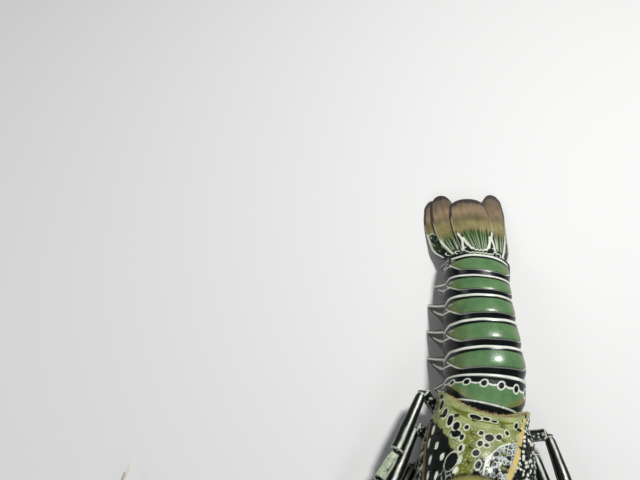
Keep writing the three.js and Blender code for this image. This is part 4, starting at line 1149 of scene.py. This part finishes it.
EYE_RADIUS = 5.6
eye_shell = shell_material(
    "eye",
    ((0.004, 0.004, 0.006), (0.01, 0.01, 0.016)),
    [
        ("white", ((0.55, 0.58, 0.5), (0.75, 0.77, 0.68))),
        ("blue", ((0.05, 0.2, 0.24), (0.1, 0.32, 0.36))),
    ],
    gloss=(0.06, 0.12),
    coat=1.0,
    depth=0.00003,
)
for side_name, side in SIDES.items():
    t = np.linspace(0, 1, 80)[:, None]
    places = ((11.5, -99, 45), (13, -113, 54), (14, -128, 57))
    start, middle, end = (np.array([side * x, y, z]) for x, y, z in places)
    path = (1 - t) ** 2 * start + 2 * t * (1 - t) * middle + t**2 * end
    grid, turn = path_grid(path, along([6, 5.4, 4.2, 2.9, 1.5, 0.3], t[:, 0]), 48, 0.85)
    near, next_near, pick = cells(turn * 3.2 + 0 * t, t * 34 + 0 * turn, 3.4, 140)
    net = inked(next_near - near, 0.35, 0.25) * (1 - smooth(0.5, 0.62, t))
    band = inked(t - 0.56, 0.02, 0.01)
    tip = smooth(0.62, 0.9, t)
    form = new_form()
    add_skin(form, grid, (0, 0.5 * tip, 0.8 * tip, 0, 0, np.clip(net + band, 0, 1), 0))
    nodes = [f"horn_{side_name}"]
    make_piece(f"brow_horn_{side_name}", form, CARAPACE_MARKS, carapace_shell, nodes)

    centre = np.array([side * 19.5, -119.5, 43.5])
    foot = np.array([side * 12, -108, 41])
    ball_form = new_form()
    polar = np.linspace(0.02, np.pi - 0.02, 48)
    axis = (centre - foot) / np.linalg.norm(centre - foot)
    path = centre - np.outer(np.cos(polar), axis) * EYE_RADIUS
    grid, turn = path_grid(path, EYE_RADIUS * np.sin(polar), 56)
    rim = inked(polar[:, None] - 0.72, 0.07, 0.03) + 0 * turn
    iris = 0.8 * (1 - smooth(0.6, 0.7, polar[:, None])) + 0 * turn
    add_skin(ball_form, grid, (rim, iris))
    share = np.linspace(0, 0.82, 40)
    grid, turn = path_grid(foot + np.outer(share, centre - foot), along([3.6, 3.4, 4.4], share), 40)
    stripes = inked(np.abs(np.degrees(turn)) - 60, 9, 4) + inked(share[:, None] - 0.5, 0.05, 0.02)
    add_skin(ball_form, grid, (np.clip(stripes, 0, 1), 0.3 + 0 * stripes))
    nodes = [f"eye_{side_name}"]
    make_piece(f"stalked_eye_{side_name}", ball_form, ("white", "blue"), eye_shell, nodes)


# Antennae: three stout joints of salmon-pink shell with black spots and dark, pale-tipped spines, and
# a long tapering whip of short horny rings. Its root is purple-pink and hairy, the rest is cream, and
# a painted highlight lies along its top.
ANTENNA_JOINTS = [
    ("base", 22, 70, 5, [8.6, 9.6, 9.6, 8.2], 4),
    ("middle", 25, 60, 8, [6.8, 8.8, 9, 8.2], 6),
    ("end", 31, 51, 10, [6, 7.8, 7.9, 7.6, 6.2], 8),
]
ANTENNA_SPINE_RING = [-70, 0, 70, 140, 215, 30, -35, 100]
WHIP_RADII = [4.6, 3.9, 3.2, 2.6, 2.1, 1.6, 1.2, 0.9, 0.6]
WHIP_COURSE = [(84, -201, 45), (119, -216, 46), (155, -213, 43), (187, -193, 36)]
WHIP_COURSE += [(209, -160, 27), (220, -122, 17), (223, -86, 8)]
ANTENNA_MARKS = ("orange", "black", "pale")
FEELER_MARKS = ("pink", "dark", "white")


def smooth_path(corners, count):
    # A smooth curve through its corners, at even distances.
    corners = np.asarray(corners, float)
    first, last = 2 * corners[0] - corners[1], 2 * corners[-1] - corners[-2]
    corners = np.concatenate([[first], corners, [last]])
    pieces = []
    t = np.linspace(0, 1, 200, endpoint=False)[:, None]
    for i in range(len(corners) - 3):
        a, b, c, d = corners[i : i + 4]
        k0, k1, k2 = (np.linalg.norm(p) ** 0.5 for p in (b - a, c - b, d - c))
        out = ((b - a) / k0 - (c - a) / (k0 + k1) + (c - b) / k1) * k1
        into = ((c - b) / k1 - (d - b) / (k1 + k2) + (d - c) / k2) * k1
        square, cube = 3 * (c - b) - 2 * out - into, 2 * (b - c) + out + into
        pieces.append(b + out * t + square * t**2 + cube * t**3)
    dense = np.concatenate(pieces + [corners[-2:-1]])
    walked = np.concatenate([[0], np.cumsum(np.linalg.norm(np.diff(dense, axis=0), axis=1))])
    even = np.linspace(0, walked[-1], count)
    return np.stack([np.interp(even, walked, dense[:, k]) for k in range(3)], -1), walked[-1]


antenna_shell = shell_material(
    "antenna_shell",
    ((0.48, 0.13, 0.13), (0.66, 0.25, 0.22)),
    [
        ("orange", ((0.7, 0.28, 0.05), (0.85, 0.5, 0.15))),
        ("black", ((0.006, 0.004, 0.008), (0.02, 0.012, 0.02))),
        ("pale", ((0.62, 0.5, 0.4), (0.82, 0.72, 0.6))),
    ],
    gloss=(0.25, 0.45),
    coat=0.35,
    broad=140,
)
feeler = shell_material(
    "feeler",
    ((0.5, 0.4, 0.28), (0.68, 0.58, 0.44)),
    [
        ("pink", ((0.3, 0.09, 0.13), (0.46, 0.18, 0.2))),
        ("dark", ((0.02, 0.012, 0.014), (0.06, 0.03, 0.03))),
        # white: the cream of the small feelers; on the long whips, a painted highlight along the top as
        # well as the paler tip.
        ("white", ((0.66, 0.62, 0.54), (0.8, 0.77, 0.7))),
    ],
    gloss=(0.35, 0.55),
    coat=0.15,
)
random = np.random.default_rng(41)
for side_name, side in SIDES.items():
    start = np.array([side * 17, PLATE_REAR, 26])
    for number, (name, length, heading, rise, radii, spines) in enumerate(ANTENNA_JOINTS):
        ahead = direction(side, heading, rise)
        share = np.linspace(0, 1, int(length / 0.45))
        away, home = share * length, (1 - share) * length
        half = along(radii, share) * (1 - 0.35 * smooth(2.0, 0, away)) * (1 - 0.25 * smooth(1.6, 0, home))
        half = half + 0.35 * swell(home - 2.2, 1.4)
        grid, turn = path_grid(start + np.outer(away, ahead), half, 72)
        away, home = away[:, None] + 0 * turn, home[:, None] + 0 * turn
        near, next_near, pick = cells(turn * 8.6 + 0 * away, away, 4.4, 200 + number)
        spots = (1 - smooth(0.7 + 0.9 * pick, 0.95 + 0.9 * pick, near)) * (pick > 0.3)
        pale = 0.55 * (1 - smooth(1.5, 3.2, next_near - near)) * (pick < 0.5)
        orange = smooth(4.5, 2, home) + smooth(3, 1.5, away)
        form = new_form()
        add_skin(form, grid, (np.clip(orange, 0, 1), spots, pale * (1 - spots)))
        across = np.cross(ahead, (0, 0, 1.0))
        across /= np.linalg.norm(across)
        above = np.cross(across, ahead)
        for i in range(spines):
            angle = math.radians(ANTENNA_SPINE_RING[i]) * side
            out = across * math.sin(angle) + above * math.cos(angle)
            place, size = (0.82, 6.5) if i < 4 else (0.42, 4.5)
            root = start + ahead * length * place + out * (along(radii, place) - 0.8)
            point = out + ahead
            point /= np.linalg.norm(point)
            add_spine(form, root, point, size, 0.3 * size, [0, 1, 0], [0.3, 0, 0.8], sides=14)
        node = f"antenna_{side_name}_{name}"
        make_piece(f"{node}_joint", form, ANTENNA_MARKS, antenna_shell, [node])
        start = start + ahead * (length + GAP)
    path, length = smooth_path([start] + [(side * x, y, z) for x, y, z in WHIP_COURSE], 900)
    share = np.linspace(0, 1, len(path))
    away = share * length
    ring_pitch = 2.2 - 0.9 * share
    phase = np.cumsum(2 * np.pi * np.gradient(away) / ring_pitch)
    half = along(WHIP_RADII, share) * (1 + 0.035 * np.cos(phase)) * (1 - 0.3 * smooth(1.5, 0, away))
    whip = new_form()
    grid, turn = path_grid(path, half, 20)
    pink = (1 - smooth(60, 130, away))[:, None] + 0 * turn
    seams = (0.5 * smooth(0.7, 1.0, -np.cos(phase)) * (0.25 + 0.75 * (1 - share)))[:, None] + 0 * turn
    # Painted highlight along the top of the whip; its paling toward the tip is its own colour.
    pale = 0.5 * smooth(0.3, 0.9, np.cos(turn)) * (0.3 + 0.7 * share[:, None])
    add_skin(whip, grid, (pink, seams, pale))
    for i in np.arange(14, 330, 4):
        ahead = path[i + 1] - path[i - 1]
        ahead /= np.linalg.norm(ahead)
        across = np.cross(ahead, (0, 0, 1.0))
        above = np.cross(across, ahead)
        for angle in (-100, -60, -20, 20, 60, 100):
            tilt = math.radians(angle + random.uniform(-12, 12))
            out = across * math.sin(tilt) + above * math.cos(tilt)
            lean = 0.7 * out + ahead
            lean /= np.linalg.norm(lean)
            size = random.uniform(0.8, 1.8) * (1.4 - i / 330)
            strand = path[i] + out * half[i] * 0.95 + np.outer(np.linspace(0, 1, 3), lean) * size
            grid, _ = path_grid(strand, np.array([0.16, 0.11, 0.03]), 3)
            add_skin(whip, grid, (0.4, 0.5, 0))
    nodes = [f"antenna_{side_name}_whip", f"antenna_{side_name}_whip_tip"]
    make_piece(f"long_whip_{side_name}", whip, FEELER_MARKS, feeler, nodes)


# Antennules: slim stems of three joints that fork into two fine, ringed whips. They are cream with a
# dark line along each side.
for side_name, side in SIDES.items():
    form = new_form()
    stem = [(4.4, -125, 34), (6.5, -150, 38), (10, -174, 43), (13, -192, 47), (16, -208, 49)]
    outer = [(15.6, -206, 49), (22, -226, 49), (31, -246, 44), (42, -264, 35)]
    inner = [(15.6, -206, 49), (18.5, -235, 53), (19, -268, 50), (15, -298, 39), (8, -322, 24)]
    for corners, radii, ringed in (
        (stem, [2.3, 2.2, 2.4, 2, 1.9, 2.1, 1.7, 1.9], False),
        (outer, [1.5, 1.3, 1, 0.4], True),
        (inner, [1.3, 1, 0.7, 0.3], True),
    ):
        path, length = smooth_path([(side * x, y, z) for x, y, z in corners], 220)
        away = np.linspace(0, length, 220)
        half = along(radii, away / length)
        if ringed:
            wave = np.cos(2 * np.pi * away / 1.6)
            half = half * (1 + 0.06 * wave)
            dark = 0.6 * smooth(0.6, 1.0, -wave)
        else:
            joints = (length * 0.36, length * 0.68)
            knuckles = sum(swell(away - place, 1.2) for place in (*joints, length - 1.5))
            half = half * (1 + 0.22 * knuckles)
            dark = sum(inked(away - place - 1.6, 0.4) for place in joints)
        grid, turn = path_grid(path, half, 18)
        line = inked(np.abs(np.degrees(turn)) - 70, 16, 6) * (0.4 if ringed else 0.95)
        shade = np.clip(dark[:, None] + line, 0, 1)
        add_skin(form, grid, (0 * shade, shade, 0.8 * (1 - shade)))
    nodes = [f"antennule_{side_name}"]
    make_piece(f"small_feeler_{side_name}", form, FEELER_MARKS, feeler, nodes)


# Swimmerets: soft leaves in pairs under the second to fifth rings, dark with a pale edge. Each is
# hinged at its front end and droops a little to the rear.
LEAF_HALF, LEAF_LENGTH = 7.5, 15.5
for side_name, side in SIDES.items():
    for index in (1, 2, 3, 4):
        start, length = sum(RING_LENGTHS[:index]), RING_LENGTHS[index]
        back = np.linspace(0, 1, 50)[:, None]
        across = np.linspace(-1, 1, 46)[None, :]
        half = LEAF_HALF * np.sin(np.pi * (0.12 + 0.8 * back)) ** 0.7
        x = 13 + 3 * back + half * across
        y = start + 0.3 * length + LEAF_LENGTH * back + 0 * across
        top = along(TAIL["belly"], y / TAIL_LENGTH) - 1.5 * GAP - 2.8 * back**1.5 - 0.5 * across**2
        edge = np.minimum(half * (1 - np.abs(across)), LEAF_LENGTH * np.minimum(back, 1 - back))
        thin = 0.5 * (1 - 0.7 * (1 - smooth(0, 1, edge)))
        upper, lower = top - 0.5 + thin, top - 0.5 - thin
        pale = 1 - smooth(0.6, 1.0, edge)
        veins = 0.35 * smooth(0.7, 1, np.cos(np.arctan2(x - 13, LEAF_LENGTH * back + 4) * 26))
        form = new_form()
        grids = [np.stack([side * x, y, z], -1) for z in (upper, lower)]
        marks = (0.95 * (1 - pale), np.clip(pale + veins, 0, 1))
        add_sheet(form, *grids, marks, marks)
        node = f"swimmeret_{side_name}_{index + 1}"
        make_piece(f"leaf_{side_name}_{index + 1}", form, UNDER_MARKS, underside, [node])
